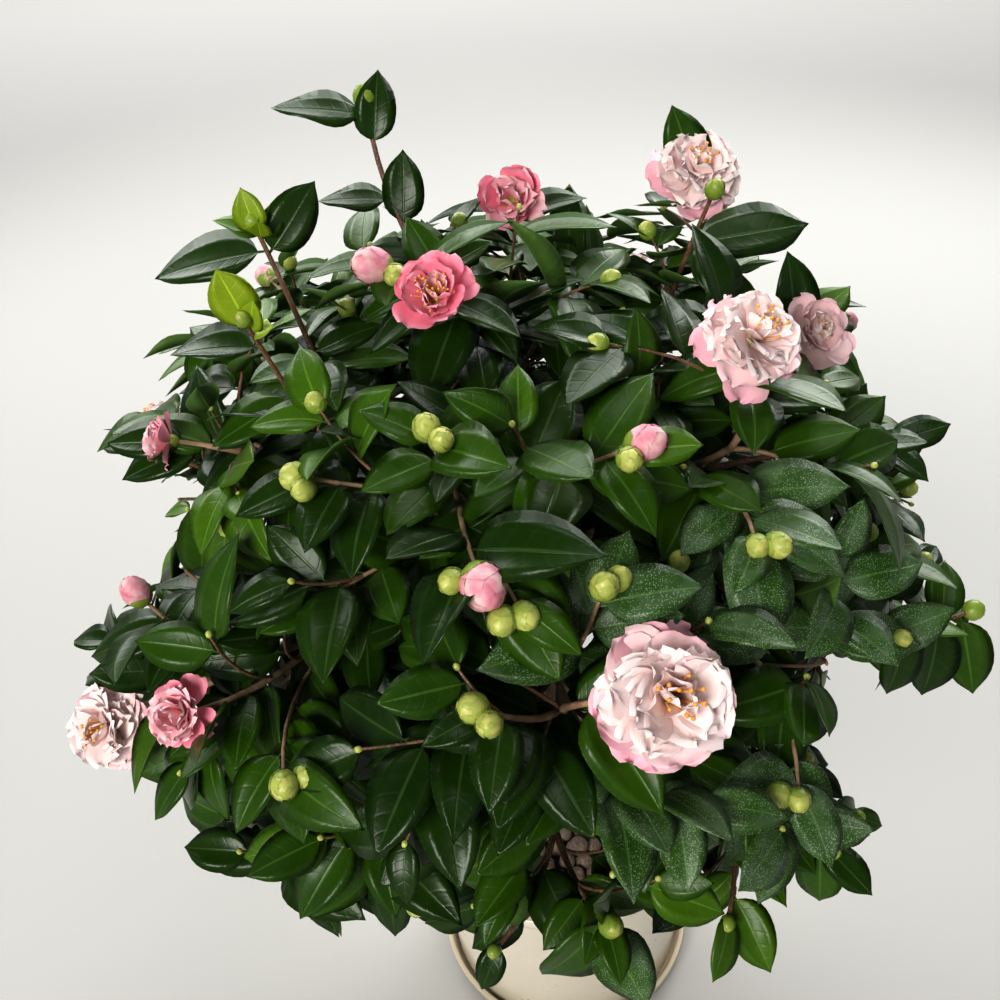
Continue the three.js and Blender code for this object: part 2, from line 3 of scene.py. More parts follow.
import bmesh
import bpy
import numpy as np
from mathutils import Matrix, Vector


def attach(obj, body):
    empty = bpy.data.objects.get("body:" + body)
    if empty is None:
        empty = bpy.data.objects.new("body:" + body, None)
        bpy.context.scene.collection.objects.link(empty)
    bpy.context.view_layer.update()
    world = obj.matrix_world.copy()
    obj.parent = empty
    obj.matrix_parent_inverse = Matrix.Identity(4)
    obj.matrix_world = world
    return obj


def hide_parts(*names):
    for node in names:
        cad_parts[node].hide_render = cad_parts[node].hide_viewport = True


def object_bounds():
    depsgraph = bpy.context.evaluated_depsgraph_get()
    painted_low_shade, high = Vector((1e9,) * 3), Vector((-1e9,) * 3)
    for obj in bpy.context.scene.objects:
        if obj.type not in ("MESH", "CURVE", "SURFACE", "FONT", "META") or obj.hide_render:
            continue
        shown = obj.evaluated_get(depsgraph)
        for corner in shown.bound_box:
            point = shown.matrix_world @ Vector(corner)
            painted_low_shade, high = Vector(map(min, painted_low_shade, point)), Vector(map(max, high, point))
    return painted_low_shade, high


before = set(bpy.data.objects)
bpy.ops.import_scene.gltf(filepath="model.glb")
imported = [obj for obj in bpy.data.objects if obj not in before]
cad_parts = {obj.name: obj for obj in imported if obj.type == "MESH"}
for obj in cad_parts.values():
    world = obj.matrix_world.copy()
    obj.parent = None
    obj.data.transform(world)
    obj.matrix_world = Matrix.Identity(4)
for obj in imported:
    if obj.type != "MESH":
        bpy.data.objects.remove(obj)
solid_low, solid_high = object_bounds()
bpy.ops.object.select_all(action="DESELECT")

# Saucer. A shallow dish of cream-glazed stoneware, thrown on a wheel and trimmed flat below. It
# stands on the floor and catches what drains from the pot.
SAUCER_FOOT = 0.127
SAUCER_RINGS = [
    (0.1295, 0.0022), (0.1322, 0.011), (0.1338, 0.0195), (0.134, 0.0212), (0.1334, 0.022),
    (0.1298, 0.022), (0.129, 0.0213), (0.1252, 0.0075), (0.1215, 0.0042), (0.04, 0.004),
]
POTTERY_SIDES = 144
# Painted shade: the saucer's colours are the pot's same cream made darker, for the shadow it sits in.
SAUCER_CREAM_IN_SHADE = (0.62, 0.55, 0.43, 1)
SAUCER_SHADE = (0.50, 0.43, 0.32, 1)


class Wire:
    """What one socket of a finish gives. Sums with it add the nodes that work them out."""

    def __init__(self, finish, socket):
        self.finish = finish
        self.socket = socket

    def work(self, operation, *terms):
        return self.finish.add("ShaderNodeMath", {"operation": operation}, terms)

    def __add__(self, other):
        return self.work("ADD", self, other)

    def __sub__(self, other):
        return self.work("SUBTRACT", self, other)

    def __rsub__(self, other):
        return self.work("SUBTRACT", other, self)

    def __mul__(self, other):
        return self.work("MULTIPLY", self, other)

    def __abs__(self):
        return self.work("ABSOLUTE", self)

    def __mod__(self, other):
        return self.work("MODULO", self, other)

    __radd__ = __add__
    __rmul__ = __mul__

    def step(self, painted_low_shade, high):
        """0 below low, 1 above high and smooth between."""
        settings = {"interpolation_type": "SMOOTHSTEP"}
        sockets = {"Value": self, "From Min": painted_low_shade, "From Max": high}
        return self.finish.add("ShaderNodeMapRange", settings, sockets)


class Finish:
    """The finish of one surface: a material whose nodes are added one after another."""

    def __init__(self, name, **shader):
        self.material = bpy.data.materials.new(name)
        self.material.use_nodes = True
        self.tree = self.material.node_tree
        self.shader = self.tree.nodes["Principled BSDF"]
        self.wear({key.replace("_", " "): value for key, value in shader.items()})

    def feed(self, node, sockets):
        named = sockets.items() if isinstance(sockets, dict) else enumerate(sockets)
        for key, value in named:
            if isinstance(value, Wire):
                self.tree.links.new(value.socket, node.inputs[key])
            else:
                node.inputs[key].default_value = value

    def add(self, kind, settings, sockets, output=0):
        node = self.tree.nodes.new(kind)
        for key, value in settings.items():
            setattr(node, key, value)
        self.feed(node, sockets)
        return Wire(self, node.outputs[output])

    def wear(self, sockets):
        self.feed(self.shader, sockets)

    def place(self):
        return self.add("ShaderNodeTexCoord", {}, {}, "Object")

    def shade(self):
        """The own shade, from 0 to 1, of each piece that is strewn."""
        return self.add("ShaderNodeAttribute", {"attribute_name": "shade"}, {}, "Fac")

    def along_map(self, axis):
        """A leaf's or petal's own map, from 0 to 1: X is across it and Y along it."""
        uv = self.add("ShaderNodeUVMap", {"uv_map": "UVMap"}, {})
        return self.add("ShaderNodeSeparateXYZ", {}, [uv], axis)

    def noise(self, scale, detail=3):
        sockets = {"Vector": self.place(), "Scale": scale, "Detail": detail}
        return self.add("ShaderNodeTexNoise", {}, sockets)

    def cells(self, scale):
        return self.add("ShaderNodeTexVoronoi", {}, {"Vector": self.place(), "Scale": scale})

    def blend(self, share, first, second):
        settings = {"data_type": "RGBA"}
        return self.add("ShaderNodeMix", settings, {0: share, 6: first, 7: second}, 2)

    def relief(self, height, strength, depth):
        sockets = {"Height": height, "Strength": strength, "Distance": depth}
        self.wear({"Normal": self.add("ShaderNodeBump", {}, sockets)})


def glaze(name, cream, shade, rough):
    """Stoneware glaze: faint clouds where it lies thicker, fine specks, painted shade low down, soft
    gloss.
    """
    finish = Finish(name, IOR=1.5, Coat_Roughness=0.12)
    clouds = finish.noise(5, 2)
    specks = finish.noise(420, 2).step(0.66, 0.74)
    # Painted shade: below 5 cm up, the glaze is darkened towards its shade colour, most at the floor.
    painted_low_shade = finish.add("ShaderNodeSeparateXYZ", {}, [finish.place()], "Z").step(0.05, 0.0)
    colour = finish.blend(clouds.step(0.3, 0.8) * 0.35 + painted_low_shade * 0.3, cream, shade)
    colour = finish.blend(specks * 0.1, colour, (0.33, 0.24, 0.15, 1))
    finish.wear({"Base Color": colour, "Roughness": finish.noise(30) * 0.16 + rough})
    finish.wear({"Coat Weight": 0.35})
    finish.relief(finish.noise(26, 2) + finish.noise(240, 2) * 0.12, 0.3, 0.0012)
    return finish.material


def edit_whole():
    """Opens the active piece for modelling, with all of it selected."""
    bpy.ops.object.mode_set(mode="EDIT")
    bpy.ops.mesh.select_all(action="SELECT")


def throw(name, foot, base, rings):
    """A wheel-thrown piece: a round slab that is drawn up, out and back in, ring by ring."""
    bpy.ops.mesh.primitive_circle_add(vertices=POTTERY_SIDES, radius=foot, fill_type="NGON")
    clay = bpy.context.object
    clay.name = name
    edit_whole()
    bpy.ops.transform.translate(value=(0, 0, base))
    radius, height = foot, base
    for wide, high in rings:
        bpy.ops.mesh.extrude_region_move(TRANSFORM_OT_translate={"value": (0, 0, high - height)})
        share = wide / radius
        bpy.ops.transform.resize(value=(share, share, 1), center_override=(0, 0, high))
        radius, height = wide, high
    bpy.ops.mesh.select_all(action="SELECT")
    bpy.ops.mesh.normals_make_consistent(inside=False)
    bpy.ops.object.mode_set(mode="OBJECT")
    bpy.ops.object.shade_smooth_by_angle(angle=math.radians(46))
    return clay


def settle(piece, slot, finishes, *nodes):
    """Gives a piece its finishes, the one body that it rides on and the solids it stands for."""
    for finish in finishes:
        piece.data.materials.append(finish)
    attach(piece, "root")
    if nodes:
        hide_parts(*nodes)
    bpy.ops.object.select_all(action="DESELECT")


saucer = throw("saucer_dish", SAUCER_FOOT, 0, SAUCER_RINGS)
settle(saucer, "saucer", [glaze("saucer glaze", SAUCER_CREAM_IN_SHADE, SAUCER_SHADE, 0.3)], "saucer")

# Pot. A plain round planter of the same stoneware, with a gently spreading wall and a thick flat
# rim. It is thrown in one piece and glazed inside and out.
POT_FOOT = 0.118
POT_BASE = 0.0043
POT_RINGS = [
    (0.1205, 0.0055), (0.1222, 0.0100), (0.1263, 0.0700), (0.1308, 0.1350), (0.1349, 0.1990),
    (0.1352, 0.2020), (0.1384, 0.2030), (0.1397, 0.2045), (0.1400, 0.2070), (0.1400, 0.2115),
    (0.1394, 0.2138), (0.1378, 0.2150), (0.1240, 0.2150), (0.1226, 0.2142), (0.1220, 0.2125),
    (0.1218, 0.2000), (0.1140, 0.0150), (0.0400, 0.0145),
]
POT_CREAM = (0.80, 0.74, 0.62, 1)
POT_SHADE = (0.70, 0.62, 0.48, 1)

pot = throw("pot_planter", POT_FOOT, POT_BASE, POT_RINGS)
settle(pot, "pot", [glaze("pot glaze", POT_CREAM, POT_SHADE, 0.22)], "pot")

# Potting soil. Dark, crumbly and damp, it fills the pot to just under the rim. Little of it shows
# between the clay balls that lie on it.
soil = Finish("potting soil", Roughness=0.95)
colour = soil.blend(soil.noise(120), (0.03, 0.02, 0.014, 1), (0.09, 0.06, 0.04, 1))
soil.wear({"Base Color": colour})
soil.relief(soil.cells(260) + soil.noise(500), 0.8, 0.003)
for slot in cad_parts["soil"].material_slots:
    slot.material = soil.material

# Clay balls. Fired clay pebbles, 16 to 20 mm across and brown to grey, poured over the soil in
# one full layer with a few more on top. They keep the soil from drying.
PEBBLE_RADIUS = 0.0094
PEBBLE_SIZES = (0.84, 1.08)
PEBBLE_DENTS = (0.006, 0.0016)
PEBBLE_STRAY = 0.0018
PEBBLE_UNEVEN = 0.0014
ROW_SPACING = 0.87
TRUNK_FOOT = 0.031
FULL_TURN = 6.28
# Each layer's height, distance apart, reach from the middle, and the part of its places filled.
PEBBLE_LAYERS = [
    (0.2015, 0.0186, 0.1115, 1),
    (0.2120, 0.0215, 0.1075, 0.34),
]


def seeded(seed):
    """The same row of random numbers each time, from the rule that the solids follow too."""
    state = (seed * 7919 + 12345) % 2147483647

    def draw(painted_low_shade=0.0, high=1.0):
        nonlocal state
        state = (state * 48271) % 2147483647
        return painted_low_shade + (high - painted_low_shade) * (state / 2147483647)

    return draw


def values_of(items, field, kind=int, wide=1):
    """One field of all the items of a mesh, as one array."""
    values = np.zeros(len(items) * wide, kind)
    items.foreach_get(field, values)
    return values


def corners_of(piece):
    """A modelled piece as arrays: its corners, its faces' loops, its finishes and its map."""
    mesh = piece.data
    corners = values_of(mesh.vertices, "co", float, 3).reshape(-1, 3)
    loops = values_of(mesh.loops, "vertex_index")
    starts = values_of(mesh.polygons, "loop_start")
    worn = values_of(mesh.polygons, "material_index")
    flat = np.zeros(len(mesh.loops) * 2)
    if mesh.uv_layers:
        flat = values_of(mesh.uv_layers[0].data, "uv", float, 2)
    bpy.data.objects.remove(piece)
    return corners, loops, starts, worn, flat


def put_in_scene(name, data):
    """A new piece, lamp or camera at the origin."""
    made = bpy.data.objects.new(name, data)
    bpy.context.scene.collection.objects.link(made)
    return made


def strew(name, sorts, placed):
    """One mesh of many like pieces, each a copy of a modelled one. A placed piece is its sort,
    its turn and size as a 3 x 3 matrix, its place, its finish and its own shade from 0 to 1."""
    parts = {key: [] for key in ("co", "loop", "start", "worn", "uv", "shade")}
    corner_count = loop_count = 0
    for sort, turn, place, finish, shade in placed:
        corners, loops, starts, worn, flat = sorts[sort]
        parts["co"].append(corners @ np.array(turn).T + np.array(place))
        parts["loop"].append(loops + corner_count)
        parts["start"].append(starts + loop_count)
        parts["worn"].append(worn + finish)
        parts["uv"].append(flat)
        parts["shade"].append(np.full(len(corners), shade))
        corner_count += len(corners)
        loop_count += len(loops)
    joined = {key: np.concatenate(value) for key, value in parts.items()}
    mesh = bpy.data.meshes.new(name)
    mesh.vertices.add(corner_count)
    mesh.vertices.foreach_set("co", joined["co"].ravel())
    mesh.loops.add(loop_count)
    mesh.loops.foreach_set("vertex_index", joined["loop"])
    mesh.polygons.add(len(joined["start"]))
    mesh.polygons.foreach_set("loop_start", joined["start"])
    mesh.polygons.foreach_set("material_index", joined["worn"])
    mesh.uv_layers.new(name="UVMap").data.foreach_set("uv", joined["uv"])
    mesh.attributes.new("shade", "FLOAT", "POINT").data.foreach_set("value", joined["shade"])
    mesh.update(calc_edges=True)
    mesh.shade_smooth()
    return put_in_scene(name, mesh)


def make_active(piece):
    """Selects a piece alone."""
    bpy.ops.object.select_all(action="DESELECT")
    piece.select_set(True)
    bpy.context.view_layer.objects.active = piece


def dent(piece, size, depth):
    """Small uneven swellings all over a piece."""
    make_active(piece)
    relief = bpy.data.textures.new(piece.name, "CLOUDS")
    relief.noise_scale = size
    bpy.ops.object.modifier_add(type="DISPLACE")
    lumps = piece.modifiers[-1]
    lumps.texture = relief
    lumps.texture_coords = "LOCAL"
    lumps.strength = depth
    lumps.mid_level = 0.5
    bpy.ops.object.modifier_apply(modifier=lumps.name)


def any_way(draw):
    """A direction and length at random."""
    return Vector((draw(-1, 1), draw(-1, 1), draw(-1, 1)))


def tumble(draw, size):
    """A turn at random, with a slightly squashed size."""
    axis = any_way(draw).normalized()
    squash = Matrix.Diagonal((size, size * draw(0.82, 1), size * draw(0.86, 1)))
    return Matrix.Rotation(draw(0, FULL_TURN), 3, axis) @ squash


bpy.ops.mesh.primitive_ico_sphere_add(subdivisions=2, radius=PEBBLE_RADIUS)
ball = corners_of(bpy.context.object)
draw = seeded(5)
balls = []
for bed, apart, field, share in PEBBLE_LAYERS:
    across = int(field / apart) + 2
    for row in range(-across, across + 1):
        for column in range(-across, across + 1):
            x = (column + (row % 2) / 2) * apart + draw(-PEBBLE_STRAY, PEBBLE_STRAY)
            y = row * apart * ROW_SPACING + draw(-PEBBLE_STRAY, PEBBLE_STRAY)
            size = draw(*PEBBLE_SIZES)
            if TRUNK_FOOT < math.hypot(x, y) < field and draw() < share:
                place = (x, y, bed + draw(-PEBBLE_UNEVEN, PEBBLE_UNEVEN))
                balls.append((0, tumble(draw, size), place, 0, draw()))
pebbles = strew("clay_balls", [ball], balls)
dent(pebbles, *PEBBLE_DENTS)
clay = Finish("fired clay", Roughness=0.9)
colour = clay.blend(clay.shade(), (0.16, 0.095, 0.06, 1), (0.30, 0.235, 0.19, 1))
colour = clay.blend(clay.noise(300).step(0.45, 0.7) * 0.55, colour, (0.42, 0.37, 0.32, 1))
clay.wear({"Base Color": colour})
clay.relief(clay.cells(900) + clay.noise(350), 0.5, 0.0012)
settle(pebbles, "soil", [clay.material])

# Trunk and boughs. One short leaning trunk forks into boughs that fork again, with the smooth
# grey-brown bark of its kind, finely cracked and a little swollen where limbs part.
CROWN_CENTRE = Vector((-0.025, 0.010, 0.540))
CROWN_HALF_WIDTH = 0.330
CROWN_HALF_DEPTH = 0.320
CROWN_RISE = 0.280
CROWN_DROP = 0.230
BOUGH_REACH = 0.46
MASS_REACH = 0.66
STEM_REACH = 0.78
BOUGH_TIP = 0.0034
# How far a bough leaves along its parent's way, and how far its bends lie from its two ends.
BOUGH_FOLLOWS = 0.35
BOUGH_BENDS = (0.36, 0.3)
TRUNK_BASE = 0.1973
TRUNK_RADIUS = 0.013
TRUNK_THINNING = 0.0025
TRUNK_FLARE = 0.75
TRUNK_STRAIGHT = 0.048
FORK_STRAIGHT = 0.045
FORK_HEIGHT = 0.338
TRUNK_LEAN = (-0.014, 0.007)
LIMB_STATIONS = 14
BARK_GRAIN = 0.0015
BARK_SMOOTHING = 6
# The size and the depth of the swellings that the bark's surface has.
BARK_SWELLINGS = [(0.014, 0.0022), (0.0035, 0.0009)]
# Name, bearing from +X towards +Y, rise from the level, parent limb, part of its length, radius.
LIMBS = [
    ("top", 90, 88, "trunk", 1, 0.0086),
    ("upper_left", -158, 44, "trunk", 0.93, 0.0074),
    ("upper_front", -104, 50, "top", 0.2, 0.0062),
    ("upper_front_right", -36, 46, "trunk", 0.86, 0.0074),
    ("upper_right", 24, 46, "top", 0.34, 0.0058),
    ("upper_back", 84, 46, "trunk", 0.78, 0.0074),
    ("upper_back_left", 146, 46, "top", 0.46, 0.0056),
    ("side_front_left", -143, 8, "upper_left", 0.26, 0.0054),
    ("side_front", -86, 16, "upper_front_right", 0.2, 0.0054),
    ("side_front_right", -42, 8, "upper_front_right", 0.42, 0.005),
    ("side_right", 8, 8, "trunk", 0.7, 0.0056),
    ("side_back_right", 60, 8, "upper_back", 0.26, 0.0054),
    ("side_back", 112, 8, "upper_back", 0.42, 0.005),
    ("side_left", 166, 8, "upper_left", 0.42, 0.005),
    ("low_front_left", -128, -28, "trunk", 0.62, 0.005),
    ("low_front", -88, -30, "trunk", 0.5, 0.005),
    ("low_front_right", -50, -28, "side_front_right", 0.2, 0.0044),
    ("low_right", -8, -28, "side_right", 0.25, 0.0046),
    ("low_back_right", 46, -28, "trunk", 0.58, 0.005),
    ("low_back_left", 110, -28, "trunk", 0.7, 0.005),
    ("low_left", 176, -28, "trunk", 0.48, 0.005),
]


class Limb:
    """The middle line of a limb: a Bezier curve through two to four points."""

    def __init__(self, *points):
        self.points = [Vector(point) for point in points]

    def at(self, part):
        points = self.points
        while len(points) > 1:
            points = [a.lerp(b, part) for a, b in zip(points, points[1:])]
        return points[0]

    def way(self, part):
        steps = [b - a for a, b in zip(self.points, self.points[1:])]
        while len(steps) > 1:
            steps = [a.lerp(b, part) for a, b in zip(steps, steps[1:])]
        return steps[0].normalized()

    def length(self):
        knots = [self.at(i / 8) for i in range(9)]
        return sum((b - a).length for a, b in zip(knots, knots[1:]))


def on_crown(bearing, rise, reach):
    """A point by bearing and rise, at a part of the crown's reach."""
    turn, lift = math.radians(bearing), math.radians(rise)
    height = CROWN_RISE if lift > 0 else CROWN_DROP
    out = Vector((
        CROWN_HALF_WIDTH * math.cos(lift) * math.cos(turn),
        CROWN_HALF_DEPTH * math.cos(lift) * math.sin(turn),
        height * math.sin(lift),
    ))
    return CROWN_CENTRE + out * reach


def reach_of(point):
    """The part of the crown's reach at which a point lies."""
    x, y, z = point - CROWN_CENTRE
    height = CROWN_RISE if z > 0 else CROWN_DROP
    return math.hypot(x / CROWN_HALF_WIDTH, y / CROWN_HALF_DEPTH, z / height)


def sweep(name, stations, fineness):
    """Round tapering limbs in one mesh, each drawn through its own points and radii."""
    line = bpy.data.curves.new(name, "CURVE")
    line.dimensions = "3D"
    line.bevel_depth = 1
    line.bevel_resolution = fineness
    line.use_fill_caps = True
    for limb in stations:
        spline = line.splines.new("POLY")
        spline.points.add(len(limb) - 1)
        for knot, (point, radius) in zip(spline.points, limb):
            knot.co = (*point, 1)
            knot.radius = radius
    make_active(put_in_scene(name, line))
    bpy.ops.object.convert(target="MESH")
    return bpy.context.object


def stations_of(limb, radius_at, count):
    """Points along a limb with the radius at each."""
    return [(limb.at(i / count), radius_at(i / count)) for i in range(count + 1)]


limbs = {"trunk": Limb(
    (0, 0, TRUNK_BASE),
    (0, 0, TRUNK_BASE + TRUNK_STRAIGHT),
    (TRUNK_LEAN[0] * 0.7, TRUNK_LEAN[1], FORK_HEIGHT - FORK_STRAIGHT),
    (*TRUNK_LEAN, FORK_HEIGHT),
)}
wood = [stations_of(
    limbs["trunk"],
    lambda part: (TRUNK_RADIUS - TRUNK_THINNING * part) * (1 + TRUNK_FLARE * math.exp(-9 * part)),
    LIMB_STATIONS,
)]
for name, bearing, rise, parent, fork, radius in LIMBS:
    start = limbs[parent].at(fork)
    onward = limbs[parent].way(fork)
    end = on_crown(bearing, rise, BOUGH_REACH)
    across = end - start
    leave = across.normalized().lerp(onward, BOUGH_FOLLOWS).normalized()
    out = (on_crown(bearing, rise, 1) - on_crown(bearing, rise, 0.3)).normalized()
    first_bend = start + leave * across.length * BOUGH_BENDS[0]
    last_bend = end - out * across.length * BOUGH_BENDS[1]
    limbs[name] = Limb(start, first_bend, last_bend, end)
    wood.append(stations_of(
        limbs[name],
        lambda part, thick=radius: thick + (BOUGH_TIP - thick) * part**0.8,
        LIMB_STATIONS,
    ))

bark_piece = sweep("trunk_and_boughs", wood, 4)
bark_piece.data.remesh_voxel_size = BARK_GRAIN
make_active(bark_piece)
bpy.ops.object.voxel_remesh()
bpy.ops.object.modifier_add(type="SMOOTH")
bark_piece.modifiers[-1].iterations = BARK_SMOOTHING
bpy.ops.object.modifier_apply(modifier=bark_piece.modifiers[-1].name)
for size, depth in BARK_SWELLINGS:
    dent(bark_piece, size, depth)
bpy.ops.object.shade_smooth()


def bark_finish(name, light, dark, rough):
    """Thin bark: mottled, with fine cracks and small pale pores."""
    finish = Finish(name, Roughness=rough)
    grain = finish.noise(55, 5)
    pores = finish.cells(420).step(0.34, 0.2)
    colour = finish.blend(grain.step(0.34, 0.68), dark, light)
    colour = finish.blend(pores * 0.35, colour, (0.42, 0.35, 0.27, 1))
    finish.wear({"Base Color": colour})
    finish.relief(finish.noise(210, 4) + finish.cells(330) * 0.5, 0.6, 0.0012)
    return finish.material


bark = bark_finish("trunk bark", (0.30, 0.225, 0.155, 1), (0.13, 0.088, 0.055, 1), 0.82)
settle(bark_piece, "bark", [bark], "trunk", *[f"bough_{limb[0]}" for limb in LIMBS])

# Stems and twigs. Each bough carries on as a stem, whose twigs fork into finer shoots out to the
# crown's surface. Older wood is brown, and the year's shoots are thin, reddish and smooth.
STEM_BASE = 0.0036
STEM_TIP = 0.0022
BARE_SWELL = 1.35
LONG_SHOOT_BASE = 0.0027
LONG_SHOOT_TIP = 0.0016
TWIG_BASE = 0.0021
TWIG_TIP = 0.0012
SHOOT_BASE = 0.0015
SHOOT_TIP = 0.0009
TWIG_ANGLE_COSINE = 0.72
FORK_STEP = 0.05
STEM_OVERLAP = 0.004
CROWDED = 0.034
FINE_CROWDED = 0.026
FINE_SCATTER = 0.012
# Spread ends: reach, how many, and the sine of the lowest rise.
SHELLS = [(0.88, 51, -0.66), (0.64, 8, -0.5)]
FINE_SHELLS = [(0.97, 160, -0.8), (0.84, 130, -0.76), (0.66, 84, -0.7), (0.5, 40, -0.6)]
FINE_LENGTH = (0.035, 0.15)
# Bearing, rise, reach and width across, for a bloom that turns aside, which way it faces, and for
# one whose twig is seen bare, a point that the twig bends towards.
BLOOMS = [
    (-77, 25, 1, 0.078, (-76, 42), (-90, 24, 0.94)),
    (-151, -1, 1.05, 0.062, (-112, 38)),
    (-134, 14, 1, 0.044, (-112, 40), (-128, 16, 0.88)),
    (-118, 73, 1.02, 0.050, (-96, 48)),
    (85, 66, 0.98, 0.050, (-100, 40)),
    (35, 60, 1.12, 0.067, (-80, 50)),
    (-38, 57, 1.02, 0.064, (-52, 56)),
    (-6, 47, 0.955, 0.049, (-74, 36)),
    (-162, 40, 0.98, 0.040, None),
    (66, 22, 1, 0.070, None),
    (112, 30, 1, 0.056, None),
    (162, 16, 1, 0.062, None),
]
BUDS = [
    (-150, 75, 1.02, 0.023), (-73, 52, 1, 0.020), (-97, 41, 1.01, 0.024),
    (-149, 21, 0.97, 0.018), (-106, 55, 1, 0.016), (-124, 48, 1, 0.0175),
    (-92, 37, 1, 0.016), (-82, 37, 1, 0.016), (-96, 26, 1.02, 0.017),
    (-118, 14, 1.02, 0.017), (-60, 38, 1, 0.014), (-62, 5, 1, 0.014),
    (20, 30, 1.02, 0.018), (96, 6, 1.02, 0.017), (140, 40, 1.02, 0.018),
]
# The bud whose twig is seen bare, beside the largest bloom's.
BARE_BUD = (-96, 26)
# Long shoots. The tall ones bend by way of a point of their own.
SHOOTS = [
    (143, 75, 1.29, 0.015, (170, 75, 0.94)),
    (-163, 66, 1.21, 0.011, (-150, 60, 0.85)),
    (-142, 59, 1.17, 0.010, (-150, 49, 0.68)),
    (4, 67, 1.12, 0.013, (20, 60, 0.72)),
    (-17, 30, 0.97, 0.012),
    (-26, 6, 1.05, 0.014),
    (-84, -16, 1, 0.015),
    (-54, -18, 1.03, 0.014),
    (-68, -24, 1.06, 0.010),
    (-44, -25, 1.05, 0.010),
    (-97, -26, 1.03, 0.009),
    (178, 28, 0.99, 0.012),
    (50, -14, 1.03, 0.013),
    (130, -18, 1.03, 0.013),
]

# Gaps at the crown's edge where no leaf stands, each a straight run of air that points at the
# viewer's place: bearing, rise, reach and radius.
VIEWER = Vector((-0.040, -0.670, 1.095))
CROWN_GAP_LENGTH = 0.24
CROWN_GAPS = [
    (-171, 18, 1, 0.056), (-40, -8, 1.02, 0.046), (-32, -2, 1.05, 0.032),
    (0, 34, 1.1, 0.044), (-16, 15, 1.05, 0.032), (18, 46, 0.95, 0.017),
    (9, 46, 1.17, 0.036), (163, 48, 1.08, 0.020), (56, 66, 1.1, 0.024),
    (104, 68, 1.07, 0.024), (-105, -21, 1.07, 0.026), (-114, -17, 1.15, 0.024),
    (-93, -22, 1.07, 0.015), (-80, -22, 1, 0.014), (-86, -30, 0.85, 0.026),
    (-24, 24, 1.06, 0.034), (-38, -4, 0.87, 0.026), (-43, -11, 0.93, 0.024),
    (-146, 42, 1, 0.013),
]

gap_middles = np.array([tuple(on_crown(*row[:3])) for row in CROWN_GAPS])
gap_ways = gap_middles - np.array(VIEWER)
gap_ways /= np.linalg.norm(gap_ways, axis=1)[:, None]
gap_radii = np.array([row[3] for row in CROWN_GAPS])


def in_a_gap(places):
    """Whether any of the places lies in one of the crown's gaps."""
    off = places[:, None] - gap_middles[None]
    half = CROWN_GAP_LENGTH / 2
    along = np.clip((off * gap_ways[None]).sum(2), -half, half)
    aside = np.linalg.norm(off - along[:, :, None] * gap_ways[None], axis=2)
    return (aside < gap_radii[None]).any()


middles = [on_crown(bearing, rise, MASS_REACH) for _, bearing, rise, *_ in LIMBS]


def nearest_mass(point):
    """The mass of leaves in whose space a point lies."""
    return min(range(len(middles)), key=lambda i: (middles[i] - point).length)


def spread(reach, count, lowest, turn=0.0):
    """Points spread evenly over one shell of the crown."""
    golden = math.pi * (3 - math.sqrt(5))
    points = []
    for i in range(count):
        sine = 1 + (lowest - 1) * (i + 0.5) / count
        bearing = math.degrees(i * golden + reach * 5 + turn)
        points.append(on_crown(bearing, math.degrees(math.asin(sine)), reach))
    return points


def twig_to(parent, end, first=0.12, last=0.97, by=None):
    """A twig to its end from where the way there makes the usual angle with the parent."""
    goal = by or end
    parts = [first + FORK_STEP * i for i in range(int((last - first) / FORK_STEP) + 1)]
    fork = min(parts, key=lambda part: abs(
        (goal - parent.at(part)).normalized().dot(parent.way(part)) - TWIG_ANGLE_COSINE
    ))
    start = parent.at(fork)
    leave = (end - start).normalized().lerp(parent.way(fork), 0.5).normalized()
    return Limb(start, by or start + leave * (end - start).length * 0.5, end)


def towards(bearing, rise):
    """A level direction by bearing, lifted by a rise."""
    turn, lift = math.radians(bearing), math.radians(rise)
    level = math.cos(lift)
    return Vector((level * math.cos(turn), level * math.sin(turn), math.sin(lift)))


named_ends = [
    {"kind": kind, "row": row, "point": on_crown(*row[:3]), "across": row[3]}
    for kind, rows in (("bloom", BLOOMS), ("bud", BUDS), ("shoot", SHOOTS))
    for row in rows
]
for end in named_ends:
    if end["kind"] == "bloom" and end["row"][4]:
        end["faces"] = towards(*end["row"][4])
    bend = end["row"][5:] if end["kind"] == "bloom" else end["row"][4:]
    if bend:
        end["by"] = on_crown(*bend[0])
ends = list(named_ends)
for shell in SHELLS:
    for point in spread(*shell):
        if all((named["point"] - point).length > CROWDED for named in named_ends):
            ends.append({"kind": "leafy", "point": point})

stems, twigs = [], []
for name, bearing, rise, *_ in LIMBS:
    way = limbs[name].way(1)
    start = limbs[name].at(1)
    end = on_crown(bearing, rise, STEM_REACH)
    middle = start + way * (end - start).length * 0.5
    stems.append(Limb(start - way * STEM_OVERLAP, middle, end))
for end in ends:
    mass = nearest_mass(end["point"])
    limb = twig_to(stems[mass], end["point"], by=end.get("by"))
    bare = end["kind"] == "bloom" and "by" in end or end.get("row", ())[:2] == BARE_BUD
    twigs.append({**end, "mass": mass, "limb": limb, "bare": bare})

# Finer shoots fork from the nearest twig of their own mass, or from its stem.
draw = seeded(11)
fine = []
for turn, shell in enumerate(FINE_SHELLS):
    for point in spread(*shell, turn + 2.4):
        point = point + any_way(draw) * FINE_SCATTER
        mass = nearest_mass(point)
        if any((named["point"] - point).length < FINE_CROWDED for named in named_ends):
            continue
        if in_a_gap(np.array([tuple(point)])):
            continue
        parents = [stems[mass], *[twig["limb"] for twig in twigs if twig["mass"] == mass]]
        limb = min((twig_to(parent, point, 0.2, 0.9) for parent in parents), key=Limb.length)
        if FINE_LENGTH[0] < limb.length() < FINE_LENGTH[1]:
            fine.append({"kind": "fine", "point": point, "mass": mass, "limb": limb})


def tapered(limb, base, tip, count):
    """A limb's stations, thinning evenly from its base to its tip."""
    return stations_of(limb, lambda part: base + (tip - base) * part, count)


